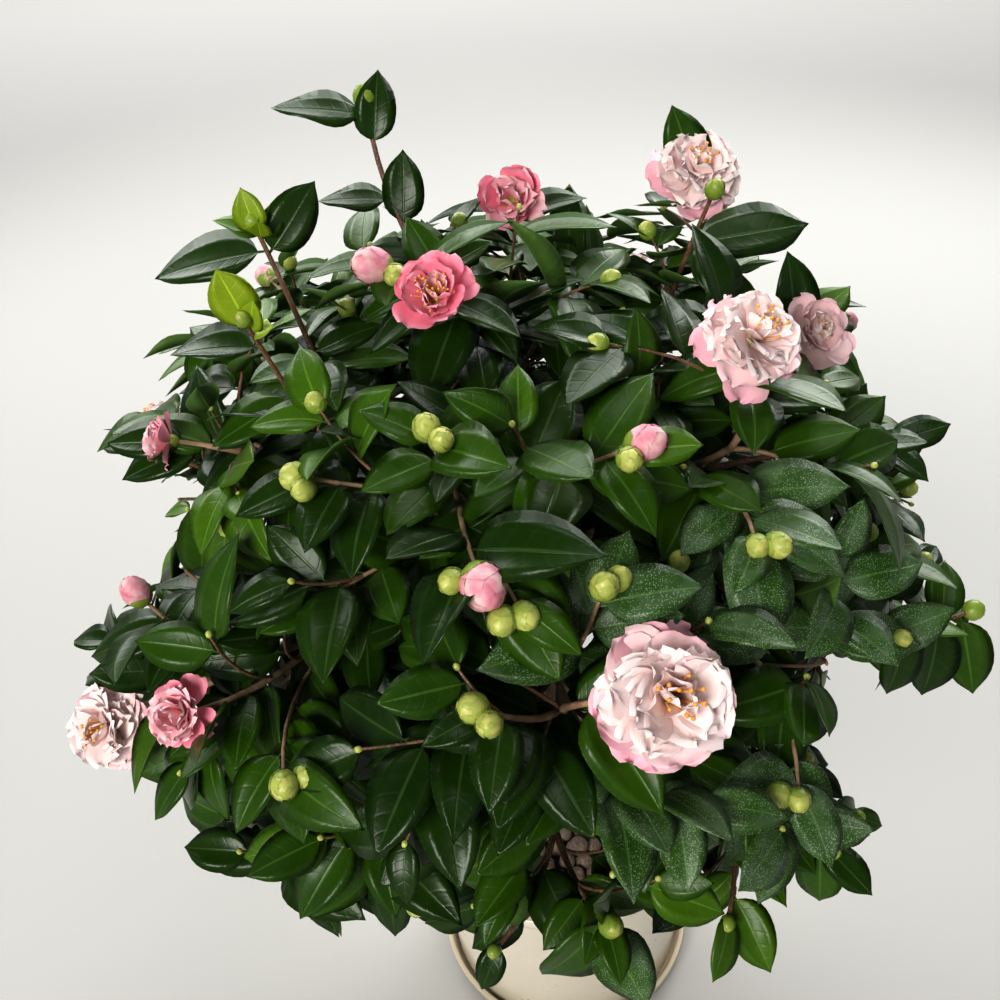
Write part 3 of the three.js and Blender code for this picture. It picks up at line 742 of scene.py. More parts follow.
old_wood = [tapered(stem, STEM_BASE, STEM_TIP, 8) for stem in stems]
young_wood = []
for twig in twigs:
    if twig["kind"] == "shoot":
        young_wood.append(tapered(twig["limb"], LONG_SHOOT_BASE, LONG_SHOOT_TIP, 12))
    else:
        swell = BARE_SWELL if twig["kind"] == "bloom" or twig["bare"] else 1
        old_wood.append(tapered(twig["limb"], TWIG_BASE * swell, TWIG_TIP * swell, 8))
for shoot in fine:
    young_wood.append(tapered(shoot["limb"], SHOOT_BASE, SHOOT_TIP, 6))
for name, stations, light, dark, rough in (
    ("twigs_old", old_wood, (0.50, 0.335, 0.21, 1), (0.23, 0.14, 0.08, 1), 0.7),
    ("twigs_young", young_wood, (0.24, 0.125, 0.066, 1), (0.105, 0.052, 0.027, 1), 0.55),
):
    piece = sweep(name, stations, 1)
    bpy.ops.object.shade_smooth()
    settle(piece, "bark", [bark_finish(name.replace("_", " "), light, dark, rough)])

# Leaves. Thick, glossy and dark, oval with a drawn-out tip, most of them 50 to 76 mm long on a
# short stalk. Each is folded a little along a paler midrib, and is paler and duller beneath.
LEAF_LENGTH = 0.068
LEAF_HALF_WIDTH = 0.0198
# Along the leaf: part of its length, and part of its half width.
LEAF_ROWS = [
    (0, 0.045), (0.08, 0.06), (0.112, 0.36), (0.165, 0.64), (0.24, 0.86),
    (0.33, 0.97), (0.43, 1.0), (0.53, 0.98), (0.63, 0.91), (0.73, 0.78),
    (0.82, 0.58), (0.89, 0.35), (0.945, 0.15), (1.0, 0.0),
]
# Each kind's fold, arch of the halves, droop, sideways sweep, twist and ripple of the edge.
LEAF_KINDS = [
    (0.18, 0.045, 0.16, 0.00, 0, 0.05),
    (0.30, 0.05, 0.30, 0.03, 14, 0.09),
    (0.10, 0.055, 0.07, -0.04, -10, 0.11),
    (0.36, 0.05, 0.20, 0.02, -18, 0.07),
    (0.22, 0.05, 0.42, -0.03, 20, 0.06),
]
# A sheet's rows are stood off this far until all are placed, so that none is picked twice.
STAND_OFF = 10
LEAF_SIZES = (0.74, 1.12)
# How far out leaves may reach, by what their twig is.
LEAF_REACH = {"bloom": 1.2, "bud": 1.14, "shoot": 1.24, "leafy": 1.08, "fine": 1.08}
LEAF_TRIES = 9
LEAF_APART = 0.0105
LEAF_CELL = 0.015
# How far the back bulges under the midrib, how wide the tip is, and within what distance the
# edges of face and back are joined.
LEAF_KEEL = 0.045
LEAF_POINT = 0.00002
LEAF_WELD = 0.00003
# Leaves stand this far apart along a twig, and further towards its foot, which they leave bare.
FIRST_LEAF = 0.0015
LEAF_STEP = 0.0065
SHOOT_LEAF_STEP = 0.014
STEP_GROWTH = 1.16
WIDEST_STEP = 0.022
LEAFY_PART = 0.62
FINE_LEAFY_PART = 0.8
# Round the twig, degrees to the next leaf, and to the next place where a leaf finds no room.
LEAF_ROUND = 144
LEAF_ASIDE = 41
# Degrees by which leaves spread from their twig, and how far they lean out of the crown. The two
# at the tip spread less and are smaller. Those on shoots are smaller too.
LEAF_SPREAD = (56, 76)
TIP_SPREADS = (28, 46)
TIP_SIZES = (0.76, 0.9)
SHOOT_LEAF_SIZE = 0.84
LEAN_OUT = 0.36
# How far leaves hang at the height of the crown's middle, and more for each metre lower.
HANG = 0.22
HANG_LOWER = 1.9
HANG_LIMITS = (0.04, 0.8)
# How far their faces turn out, up to the light, and at random.
FACE_OUT = 0.6
FACE_UP = 0.62
FACE_STRAY = 0.26
# Leaves keep out of the space above the pot, and at most this far outside the solids' box.
POT_CLEAR_RADIUS = 0.146
POT_CLEAR_HEIGHT = 0.222
BOX_SPARE = 0.004


def pick(piece, chosen):
    """Selects the corners that the test chooses, in edit mode."""
    mesh = bmesh.from_edit_mesh(piece.data)
    for corner in mesh.verts:
        corner.select = chosen(corner.co)
    mesh.select_flush_mode()
    bmesh.update_edit_mesh(piece.data)


def lift(piece, chosen, height):
    """Raises the corners that the test chooses."""
    pick(piece, chosen)
    bpy.ops.transform.translate(value=(0, 0, height))


def sheet(columns, rows):
    """A flat grid two units wide and long, open for modelling."""
    bpy.ops.mesh.primitive_grid_add(x_subdivisions=columns, y_subdivisions=rows, size=2)
    bpy.ops.object.mode_set(mode="EDIT")
    bpy.ops.mesh.select_mode(type="VERT")
    return bpy.context.object


def set_row(piece, was, wide, high, place, turn=None):
    """Scales the row that lies at this place of a sheet, turns it and stands it off."""
    pick(piece, lambda co: abs(co.y - was) < 0.01)
    bpy.ops.transform.resize(value=(wide, 1, high), center_override=(0, was, 0))
    if turn is not None:
        bpy.ops.transform.rotate(value=turn, orient_axis="Y", center_override=(0, was, 0))
    aside, along, up = place
    bpy.ops.transform.translate(value=(aside, along - was + STAND_OFF, up))


def bring_back():
    """Ends the modelling of a sheet whose rows were all stood off."""
    bpy.ops.mesh.select_all(action="SELECT")
    bpy.ops.transform.translate(value=(0, -STAND_OFF, 0))
    bpy.ops.object.mode_set(mode="OBJECT")


def blade(columns, fold, arch, droop, sweep_out, twist, ripple, keel=0.0):
    """One face of a leaf: a grid folded on its middle, whose rows are narrowed and set out."""
    rows = len(LEAF_ROWS) - 1
    piece = sheet(columns, rows)
    lift(piece, lambda co: abs(co.x) > 0.9, fold)
    if columns == 4:
        lift(piece, lambda co: 0.4 < abs(co.x) < 0.6, fold / 2 + arch)
    lift(piece, lambda co: abs(co.x) < 0.1, -keel)
    for row, (part, width) in enumerate(LEAF_ROWS):
        was = -1 + 2 * row / rows
        for edge in (-1, 1):
            wave = ripple * math.cos(row * 0.85 + edge * 0.9)
            lift(piece, lambda co: abs(co.y - was) < 0.01 and co.x * edge > 0.9, wave)
        narrow = max(width * LEAF_HALF_WIDTH, LEAF_POINT)
        aside = sweep_out * LEAF_LENGTH * part**2
        down = -droop * LEAF_LENGTH * part**2
        place = (aside, part * LEAF_LENGTH, down)
        set_row(piece, was, narrow, narrow, place, math.radians(twist) * part)
    bring_back()
    return piece


def leaf(kind):
    """A whole leaf: its face and its back, joined along the edge."""
    face = blade(4, *kind)
    back = blade(2, *kind, keel=LEAF_KEEL)
    make_active(back)
    edit_whole()
    bpy.ops.mesh.flip_normals()
    bpy.ops.object.mode_set(mode="OBJECT")
    for side, piece in enumerate((face, back)):
        for name in ("face", "back"):
            side_finish = bpy.data.materials.get(name) or bpy.data.materials.new(name)
            piece.data.materials.append(side_finish)
        for polygon in piece.data.polygons:
            polygon.material_index = side
    make_active(face)
    back.select_set(True)
    bpy.ops.object.join()
    edit_whole()
    bpy.ops.mesh.remove_doubles(threshold=LEAF_WELD)
    bpy.ops.object.mode_set(mode="OBJECT")
    return corners_of(face)


leaf_sorts = [leaf(kind) for kind in LEAF_KINDS]


def leaf_finish(name, deep, light, rough, mist=0.0, back=False):
    """Waxy leaf skin: a pale midrib, sunken side veins, a toothed edge of pale rim and painted
    highlight, and a fine uneven sheen.
    """
    finish = Finish(name, IOR=1.45, Specular_IOR_Level=0.4)
    v = finish.along_map("Y")
    across = abs(finish.along_map("X") - 0.5) * 2
    rib = across.step(0.075, 0.02)
    bow = across * across * 0.55 + across * 0.75
    veins = abs((v * 8 - bow + 4) % 1 - 0.5).step(0.36, 0.5) * across.step(1.0, 0.7)
    cloud = finish.noise(42, 4)
    colour = finish.blend(cloud.step(0.3, 0.75) * 0.5 + finish.shade() * 0.5, deep, light)
    pale = [min(1, c * 1.8 + 0.03) for c in light[:3]] + [1]
    # The toothed edge: partly the leaf's own pale rim, partly painted highlights where its teeth
    # catch the light.
    pale_teeth_and_highlight = across.step(0.9, 0.98) * abs((v * 26) % 1 - 0.5).step(0.12, 0.3)
    colour = finish.blend(veins * 0.05 + pale_teeth_and_highlight * 0.22, colour, pale)
    colour = finish.blend(rib * 0.5, colour, pale)
    if mist:
        drops = finish.cells(860).step(0.38, 0.22) * finish.noise(60).step(0.28, 0.55)
        film = finish.noise(38, 2).step(0.42, 0.68)
        colour = finish.blend(drops * mist + film * 0.13, colour, (0.46, 0.56, 0.46, 1))
    gloss = finish.noise(50, 3) * 0.16 + rough
    finish.wear({"Base Color": colour, "Roughness": gloss})
    fine = finish.noise(430, 2) * 0.16 + finish.noise(70, 2) * 0.9
    sink = 1 if back else -1
    finish.relief(fine + veins * 0.14 * sink + rib * 0.5 * sink, 0.4, 0.0011)
    return finish.material


# Each kind of leaf: its face's dark and light green, roughness and dried film, and the same two
# greens and roughness of its back.
LEAF_GREENS = [
    ("deep", (0.008, 0.030, 0.001), (0.019, 0.055, 0.002), 0.22, 0,
     (0.055, 0.12, 0.022), (0.085, 0.16, 0.035), 0.5),
    ("green", (0.020, 0.063, 0.001), (0.042, 0.106, 0.002), 0.25, 0,
     (0.07, 0.14, 0.025), (0.10, 0.19, 0.04), 0.5),
    ("bright", (0.044, 0.115, 0.002), (0.078, 0.170, 0.003), 0.28, 0,
     (0.11, 0.21, 0.035), (0.15, 0.26, 0.05), 0.5),
    ("young", (0.17, 0.27, 0.008), (0.31, 0.40, 0.014), 0.32, 0,
     (0.24, 0.38, 0.04), (0.30, 0.44, 0.06), 0.45),
    ("misted", (0.028, 0.080, 0.008), (0.052, 0.124, 0.014), 0.28, 0.5,
     (0.08, 0.15, 0.04), (0.11, 0.19, 0.06), 0.5),
]
LEAF_FINISHES = []
for kind, deep, light, rough, mist, back_deep, back_light, back_rough in LEAF_GREENS:
    LEAF_FINISHES += [
        leaf_finish(f"leaf {kind}", (*deep, 1), (*light, 1), rough, mist),
        leaf_finish(f"leaf {kind} back", (*back_deep, 1), (*back_light, 1), back_rough, back=True),
    ]
# The places of the faces' finishes. That of its back follows each.
DEEP, GREEN, BRIGHT, YOUNG, MISTED = 0, 2, 4, 6, 8
# Leaves that stand out singly, by their shoot or bloom: where along it, bearing and rise of the
# leaf, length and finish.
LONE_LEAVES = {
    (143, 75): [
        (0.98, -176, 14, 0.066, DEEP), (0.88, 66, 74, 0.050, DEEP), (0.60, 64, 74, 0.052, DEEP),
        (0.70, 176, 6, 0.052, DEEP), (0.48, -172, 20, 0.044, DEEP), (0.40, 2, 34, 0.050, GREEN),
    ],
    (-163, 66): [
        (0.99, -168, 74, 0.030, YOUNG), (0.98, 172, 30, 0.032, BRIGHT), (0.98, -76, 44, 0.022, YOUNG),
        (0.97, 14, 60, 0.028, BRIGHT), (0.94, -178, -2, 0.076, DEEP), (0.93, 16, 48, 0.054, DEEP),
        (0.60, 10, 22, 0.050, DEEP),
    ],
    (-142, 59): [
        (0.99, -176, 76, 0.040, YOUNG), (0.98, -60, 66, 0.024, YOUNG), (0.97, -30, 30, 0.018, YOUNG),
        (0.93, 174, 4, 0.060, DEEP), (0.74, -158, -14, 0.060, GREEN), (0.60, 14, 10, 0.058, DEEP),
    ],
    (4, 67): [
        (0.84, 2, 6, 0.086, DEEP), (0.56, 0, 2, 0.068, DEEP), (0.60, 176, 8, 0.066, GREEN),
        (0.36, -160, 8, 0.058, GREEN),
    ],
    (-6, 47): [(0.93, 140, 80, 0.060, DEEP), (0.88, -24, -26, 0.056, DEEP)],
    (-17, 30): [(0.97, 2, 14, 0.046, DEEP), (0.92, -50, -8, 0.044, DEEP)],
    (35, 60): [(0.95, 156, 72, 0.062, GREEN)],
    (85, 66): [
        (0.90, 4, 26, 0.060, DEEP), (0.74, 172, 18, 0.056, DEEP), (0.60, -16, 16, 0.064, GREEN),
    ],
    (-162, 40): [
        (0.86, 176, 8, 0.058, DEEP), (0.72, -164, -6, 0.060, DEEP), (0.60, 166, 22, 0.056, GREEN),
    ],
    (-26, 6): [
        (0.97, -76, -54, 0.060, GREEN), (0.84, -96, -66, 0.060, DEEP), (0.86, 70, 34, 0.048, GREEN),
        (0.66, -110, -60, 0.052, DEEP),
    ],
    (-84, -16): [(0.97, -152, -52, 0.072, GREEN), (0.97, -58, -52, 0.068, MISTED)],
    (-54, -18): [(0.96, -84, -66, 0.056, GREEN)],
}
# The part of the crown whose leaves hold dried droplets, and how many of its sprays do.
MISTED_BEARINGS = (-86, -30)
MISTED_RISES = (-8, 50)
MISTED_SHARE = 0.62
# How many sprays are deep or bright. Inside the crown, as painted shade, none is bright and more are
# deep.
DEEP_SHARE = 0.44
BRIGHT_SHARE = 0.1
INNER_REACH = 0.75
INNER_SHADED_DEEP_SHARE = 0.7


def bearing_and_rise(point):
    """Where a point lies as seen from the middle of the crown."""
    out = point - CROWN_CENTRE
    level = math.hypot(out.x / CROWN_HALF_WIDTH, out.y / CROWN_HALF_DEPTH)
    height = CROWN_RISE if out.z > 0 else CROWN_DROP
    bearing = math.degrees(math.atan2(out.y / CROWN_HALF_DEPTH, out.x / CROWN_HALF_WIDTH))
    return bearing, math.degrees(math.atan2(out.z / height, level))


def spray_finish(twig, draw):
    """The finish that one spray of leaves is dealt."""
    bearing, rise = bearing_and_rise(twig["point"])
    misted = (
        MISTED_BEARINGS[0] < bearing < MISTED_BEARINGS[1]
        and MISTED_RISES[0] < rise < MISTED_RISES[1]
        and reach_of(twig["point"]) > 0.8
    )
    lot = draw()
    if misted and lot < MISTED_SHARE:
        return MISTED
    # Painted shade: sprays inside the crown are dealt the darker greens.
    if reach_of(twig["point"]) < INNER_REACH:
        return DEEP if lot < INNER_SHADED_DEEP_SHARE else GREEN
    return DEEP if lot < DEEP_SHARE else GREEN if lot < 1 - BRIGHT_SHARE else BRIGHT


# Open air that leaves keep out of, before each bloom and bud and along the bare twigs. Before a
# bloom, how far off it lies and how wide it is are parts of the bloom's width.
BLOOM_AIR = [(0.95, 0.62), (0.2, 0.5)]
BLOOM_SIGHT_AIR = [(0.9, 0.5), (1.6, 0.45)]
TWIG_AIR = 0.016
# Along a bare twig, and from there towards the viewer.
TWIG_AIR_PARTS = (0.15, 0.3, 0.45, 0.6, 0.75)
TWIG_AIR_STEPS = (0.018, 0.042, 0.066, 0.09)
open_air = []
for end in named_ends:
    if end["kind"] == "bloom":
        out = end.get("faces") or (end["point"] - CROWN_CENTRE).normalized()
        at, across = end["point"], end["across"]
        open_air += [(at + out * across * off, across * wide) for off, wide in BLOOM_AIR]
        if end.get("faces"):
            out = (VIEWER - at).normalized()
            open_air += [(at + out * across * off, across * wide) for off, wide in BLOOM_SIGHT_AIR]
for bearing, rise, reach, across in BUDS:
    open_air.append((on_crown(bearing, rise, reach + across / CROWN_HALF_WIDTH), across * 0.8))
for twig in twigs:
    if twig["bare"]:
        for part in TWIG_AIR_PARTS:
            knot = twig["limb"].at(part)
            sight = (VIEWER - knot).normalized()
            open_air += [(knot + sight * off, TWIG_AIR) for off in TWIG_AIR_STEPS]
air_middles = np.array([tuple(middle) for middle, _ in open_air])
air_radii = np.array([radius for _, radius in open_air])
box_low = np.array(solid_low) - BOX_SPARE
box_high = np.array(solid_high) + BOX_SPARE
taken = {}


def cells_near(point, wide=1):
    """The cells of air at and round a point, by which leaves near it are found."""
    x, y, z = (int(math.floor(value / LEAF_CELL)) for value in point)
    span = range(-wide, wide + 1)
    return [(x + i, y + j, z + k) for i in span for j in span for k in span]


def has_room(points, furthest, apart):
    """Whether a leaf through these points lies in the crown, in free air and off other leaves."""
    places = np.array([tuple(point) for point in points])
    if (places < box_low).any() or (places > box_high).any():
        return False
    if max(reach_of(point) for point in points) > furthest:
        return False
    over_pot = np.hypot(places[:, 0], places[:, 1]) < POT_CLEAR_RADIUS
    if (over_pot & (places[:, 2] < POT_CLEAR_HEIGHT)).any():
        return False
    gaps = np.linalg.norm(places[:, None] - air_middles[None], axis=2) - air_radii[None]
    if (gaps < 0).any() or in_a_gap(places):
        return False
    for point in points:
        for cell in cells_near(point):
            for other in taken.get(cell, ()):
                if (other - point).length < apart:
                    return False
    return True


def take(points):
    """Marks the places of a leaf as filled."""
    for point in points:
        taken.setdefault(cells_near(point, 0)[0], []).append(point)


def leaf_turn(at, way, side, spread_angle, draw, sag):
    """A leaf's frame: it leaves the twig sideways, leans out and turns its face to the light."""
    out = (at - CROWN_CENTRE).normalized()
    along = way * math.cos(spread_angle) + side * math.sin(spread_angle)
    along = along + Vector((out.x, out.y, 0)) * LEAN_OUT
    # Leaves lie level high on the crown and hang more the lower they stand.
    least, most = HANG_LIMITS
    hang = min(most, max(least, HANG + (CROWN_CENTRE.z - at.z) * HANG_LOWER))
    along.z = along.z * 0.5 - sag * hang
    along.normalize()
    facing = out * FACE_OUT + Vector((0, 0, FACE_UP))
    facing += any_way(draw) * FACE_STRAY
    across = along.cross(facing)
    if across.length < 0.05:
        across = along.cross(side)
    across.normalize()
    up = across.cross(along)
    return Matrix((across, along, up)).transposed()


def leaf_spots(twig, length):
    """Parts of a twig's length where its leaves sit, from the tip down."""
    spots, back = [], FIRST_LEAF
    step = SHOOT_LEAF_STEP if twig["kind"] == "shoot" else LEAF_STEP
    reach = (FINE_LEAFY_PART if twig["kind"] == "fine" else LEAFY_PART) * length
    while back < reach:
        spots.append(1 - back / length)
        back += step
        step = min(step * STEP_GROWTH, WIDEST_STEP)
    return spots


# Where a leaf is tested for room, as parts of its half width and of its length.
LEAF_MARKS = [(0, 0.35), (0, 0.62), (0, 0.94), (0.8, 0.5), (-0.8, 0.5)]
leaf_marks = [
    Vector((x * LEAF_HALF_WIDTH, y * LEAF_LENGTH, -0.2 * y * y * LEAF_LENGTH))
    for x, y in LEAF_MARKS
]
draw = seeded(23)
leaves = []
# The single leaves come first, so that the others keep clear of them.
for twig in twigs:
    for part, bearing, rise, length, finish in LONE_LEAVES.get(twig.get("row", (0, 0))[:2], ()):
        along = towards(bearing, rise)
        facing = Vector((draw(-0.2, 0.2), -0.35, 0.9))
        if abs(rise) > 40:
            facing = Vector((draw(-0.3, 0.3), -1, 0.25))
        across = along.cross(facing).normalized()
        # Young leaves are broader for their length.
        broad = 1.25 if finish == YOUNG else 1.0
        turn = Matrix((across * broad, along, across.cross(along))).transposed()
        turn *= length / LEAF_LENGTH
        at = twig["limb"].at(part)
        take([at + turn @ Vector((0, share * LEAF_LENGTH, 0)) for share in (0.35, 0.62, 0.94)])
        leaves.append((twig["mass"], (int(draw(0, 3.9)), turn, at, finish, draw(0.2, 0.9))))
for twig in [*twigs, *fine]:
    if twig.get("by") and twig["kind"] == "shoot":
        continue
    limb, mass = twig["limb"], twig["mass"]
    length = limb.length()
    own = spray_finish(twig, draw)
    own_shade = draw(0, 1)
    furthest = LEAF_REACH[twig["kind"]]
    first_side = draw(0, 2 * math.pi)
    for i, part in enumerate(leaf_spots(twig, length)):
        at, way = limb.at(part), limb.way(part)
        up = Vector((0, 0, 1)) if abs(way.z) < 0.9 else Vector((1, 0, 0))
        right = way.cross(up).normalized()
        ahead = right.cross(way)
        size = draw(*LEAF_SIZES) * (TIP_SIZES[i] if i < 2 else 1)
        if twig["kind"] == "shoot":
            size *= SHOOT_LEAF_SIZE
        kind = int(draw(0, len(LEAF_KINDS) - 0.01))
        degrees = TIP_SPREADS[i] if i < 2 else draw(*LEAF_SPREAD)
        sag = draw(0.5, 1.5)
        for attempt in range(LEAF_TRIES):
            angle = first_side + i * math.radians(LEAF_ROUND)
            angle += attempt * math.radians(LEAF_ASIDE)
            side = right * math.cos(angle) + ahead * math.sin(angle)
            spread_angle = math.radians(degrees - 3 * attempt)
            turn = leaf_turn(at, way, side, spread_angle, draw, sag)
            size_now = size * (1 - 0.02 * attempt)
            points = [at + turn @ mark * size_now for mark in leaf_marks]
            if has_room(points, furthest, LEAF_APART):
                finish = own
                if own == GREEN and i < 2 and draw() < 0.15:
                    finish = BRIGHT
                shade_now = min(1, max(0, own_shade + draw(-0.3, 0.3)))
                take(points)
                leaves.append((mass, (kind, turn * size_now, at, finish, shade_now)))
                break

LEAF_GROUPS = {
    "leaves_upper": range(0, 7),
    "leaves_side": range(7, 14),
    "leaves_low": range(14, 21),
}
for name, masses in LEAF_GROUPS.items():
    placed = [leaf_copy for mass, leaf_copy in leaves if mass in masses]
    piece = strew(name, leaf_sorts, placed)
    nodes = [f"foliage_{LIMBS[mass][0]}" for mass in masses]
    settle(piece, "foliage", LEAF_FINISHES, *nodes)

# Flower buds. Plump eggs wrapped in overlapping scales, yellow-green while shut. Those about to
# open show the pink of the petals that are folded round each other inside.
# Along a scale: part of its length, and part of its full width.
SCALE_ROWS = [(0, 0.6), (0.22, 0.92), (0.46, 1.0), (0.68, 0.9), (0.86, 0.6), (1.0, 0.08)]
# How far round the bud each kind of scale reaches, in degrees of rise.
SCALE_TOPS = (-8, 26, 56, 80)


def bud_scale(top):
    """One scale: a small curved shield that hugs the bud from its base up to its own height."""
    rows = len(SCALE_ROWS) - 1
    piece = sheet(4, rows)
    lift(piece, lambda co: abs(co.x) > 0.9, -1)
    lift(piece, lambda co: 0.4 < abs(co.x) < 0.6, -0.22)
    # The rows follow an upright egg that is one unit wide and 1.2 high.
    for row, (part, width) in enumerate(SCALE_ROWS):
        was = -1 + 2 * row / rows
        around = math.radians(-84 + part * (84 + top))
        radius = 0.5 * math.cos(around) + 0.012 + 0.012 * part
        wide = max(0.92 * width * radius, 0.003)
        bow = max(radius - math.sqrt(radius**2 - wide**2), 0.001)
        set_row(piece, was, wide, bow, (0, 0.55 + 0.6 * math.sin(around), radius))
    bring_back()
    return corners_of(piece)


def bud_heart():
    """The egg within, one unit wide."""
    bpy.ops.mesh.primitive_uv_sphere_add(segments=14, ring_count=9, radius=0.485)
    piece = bpy.context.object
    edit_whole()
    bpy.ops.transform.resize(value=(1, 1, 1.22))
    bpy.ops.transform.translate(value=(0, 0, 0.55))
    bpy.ops.transform.rotate(value=math.pi / 2, orient_axis="X", center_override=(0, 0, 0))
    bpy.ops.object.mode_set(mode="OBJECT")
    arrays = corners_of(piece)
    if arrays[0][:, 1].mean() < 0:
        arrays[0][:, 1:] *= -1
    return arrays


bud_sorts = [*[bud_scale(top) for top in SCALE_TOPS], bud_heart()]
HEART = len(SCALE_TOPS)


def frame_along(way, turn=0.0):
    """A frame whose +Y is the way given, turned about it."""
    y = way.normalized()
    x = y.cross(Vector((0, 0, 1)))
    if x.length < 0.01:
        x = Vector((1, 0, 0))
    x.normalize()
    return Matrix((x, y, x.cross(y))).transposed() @ Matrix.Rotation(turn, 3, "Y")


# A bud's rings from the inside out: the kind of scale and how many.
FULL_BUD = [(3, 3), (2, 4), (1, 4), (0, 3)]
SMALL_BUD = [(2, 3), (0, 2)]
OPENING_WIDTH = 0.018
TWIN_SHARE = 0.6
TWIN_WIDTH = 0.0155
# A fine shoot ends in a flower bud or a small leaf bud.
FINE_FLOWER_SHARE = 0.16
FINE_FLOWER_BUD = 0.0125
FINE_LEAF_BUD = 0.0042


def bud_pieces(at, way, across, draw, opening, rings=FULL_BUD, tone=0.0):
    """The egg and its scales. Those of an opening bud stay low, and its petals show above."""
    tall = 1.12 if opening else 1.0
    egg = Matrix.Diagonal((1, tall, 1)) * across
    placed = [(HEART, frame_along(way) @ egg, at, 1 if opening else 0, 0.5)]
    for depth, (sort, count) in enumerate(rings):
        petal = opening and sort > 0
        for i in range(count):
            turn = frame_along(way, (i / count + 0.37 * depth) * 2 * math.pi + draw(-0.2, 0.2))
            swell = 1 + 0.02 * depth
            shape = Matrix.Diagonal((swell, tall, swell)) * across
            finish = 1 if petal else 0
            shade = min(1, 0.3 * depth + draw(0, 0.2) + tone)
            placed.append((sort, turn @ shape, at, finish, shade))
    return placed


draw = seeded(31)
bud_copies = []
for twig in twigs:
    if twig["kind"] in ("bud", "shoot"):
        limb, across = twig["limb"], twig["across"]
        opening = across >= OPENING_WIDTH and twig["kind"] == "bud"
        tone = 0.7 if twig["kind"] == "shoot" else 0.0
        bud_copies += bud_pieces(limb.at(1), limb.way(1), across, draw, opening, tone=tone)
        if twig["kind"] == "bud" and draw() < TWIN_SHARE:
            # A smaller bud often sits beside the first, from the same scales.
            aside = limb.way(1).cross(Vector((0, 0, 1))).normalized()
            aside *= 1 if draw() < 0.5 else -1
            beside = limb.at(1) + aside * across * 0.42
            way = limb.way(1) + aside * 0.9
            bud_copies += bud_pieces(beside, way, TWIN_WIDTH * draw(0.85, 1.1), draw, False)
for shoot in fine:
    limb = shoot["limb"]
    flower = draw() < FINE_FLOWER_SHARE and reach_of(shoot["point"]) > 0.8
    across, rings = (FINE_FLOWER_BUD, FULL_BUD) if flower else (FINE_LEAF_BUD, SMALL_BUD)
    bud_copies += bud_pieces(limb.at(1), limb.way(1), across, draw, False, rings)
buds = strew("flower_buds", bud_sorts, bud_copies)

scales = Finish("bud scales", Roughness=0.45, Coat_Weight=0.1)
colour = scales.blend(scales.shade(), (0.60, 0.61, 0.18, 1), (0.24, 0.34, 0.045, 1))
colour = scales.blend(scales.noise(160).step(0.55, 0.85) * 0.35, colour, (0.30, 0.20, 0.06, 1))
scales.wear({"Base Color": colour})
scales.relief(scales.noise(600, 2), 0.3, 0.0006)
tips = Finish("bud petals", Roughness=0.55, Subsurface_Weight=0.1)
colour = tips.blend(tips.noise(110).step(0.35, 0.7), (0.80, 0.30, 0.38, 1), (0.90, 0.60, 0.58, 1))
tips.wear({"Base Color": colour})
tips.relief(tips.noise(240, 3), 0.4, 0.0008)
settle(buds, "foliage", [scales.material, tips.material])

# Blooms. Full double flowers. Broad outer petals stand round a dome of smaller ruffled ones that
# part over a tuft of golden stamens. Most are blush with pink outer petals, and some are rose.
PETAL_ROWS = [
    (0, 0.16), (0.18, 0.42), (0.38, 0.72), (0.57, 0.94),
    (0.73, 1.0), (0.86, 0.92), (0.95, 0.70), (1.0, 0.38),
]
PETAL_HALF_WIDTH = 0.48
# Each petal kind's cup across, curl along, ruffle and notch. The first two are the outer ones.
PETAL_KINDS = [
    (0.30, 0.06, 0.08, 0.05), (0.14, -0.22, 0.13, 0.08), (0.38, 0.10, 0.11, 0.03),
    (0.26, -0.22, 0.13, 0.05), (0.48, 0.20, 0.10, 0.01), (0.20, -0.46, 0.14, 0.05),
]
BROAD, ROLLED, RUFFLED, FLARED, FOLDED, CURLED = range(len(PETAL_KINDS))
STAMEN = len(PETAL_KINDS)
BLUSH, PINK, ROSE, PALE_ROSE, SHELL, GOLD = range(6)
GOLDEN_TURN = 2.39996
PETAL_SIZES = (0.9, 1.08)
PETAL_STRAY = 0.3
LEAN_STRAY = 5
# As parts of the bloom's width: how far out the petals' feet stand, how much higher each ring
# within starts, how wide the cup of sepals is and how far down it sits.
FOOT_OUT = 0.03
RING_RISE = 0.02
SEPAL_WIDTH = 0.24
SEPAL_DROP = 0.1
# A bloom's rings from the outside in: how many pieces, their kinds, how far the first and the
# last lean out in degrees, their length as a part of the bloom's width, the most that each is
# turned on its own axis, and their finish.
DOME = [
    (6, (BROAD, ROLLED), 100, 84, 0.53, 14, PINK),
    (8, (FLARED, BROAD), 84, 70, 0.48, 18, SHELL),
    (13, (FLARED, CURLED, RUFFLED), 72, 50, 0.44, 26, BLUSH),
    (13, (CURLED, FLARED), 50, 24, 0.42, 34, BLUSH),
    (8, (CURLED, RUFFLED), 26, 6, 0.37, 40, BLUSH),
    (12, (STAMEN,), 26, 2, 0.36, 0, GOLD),
]
BOWL = [
    (7, (BROAD, BROAD, ROLLED), 72, 52, 0.56, 12, ROSE),
    (6, (BROAD, RUFFLED), 54, 42, 0.47, 16, ROSE),
    (7, (FOLDED, RUFFLED), 46, 20, 0.34, 40, PALE_ROSE),
    (24, (STAMEN,), 44, 3, 0.34, 0, GOLD),
]
ROSETTE = [
    (6, (BROAD, ROLLED), 84, 68, 0.50, 12, ROSE),
    (11, (BROAD, RUFFLED), 62, 42, 0.46, 16, PALE_ROSE),
    (12, (RUFFLED, CURLED), 42, 8, 0.42, 22, PALE_ROSE),
]
HALF_OPEN = [
    (6, (BROAD, ROLLED), 74, 54, 0.60, 14, SHELL),
    (9, (BROAD, RUFFLED), 52, 30, 0.52, 22, SHELL),
    (8, (RUFFLED, FOLDED), 28, 8, 0.44, 30, BLUSH),
    (10, (STAMEN,), 20, 2, 0.38, 0, GOLD),
]
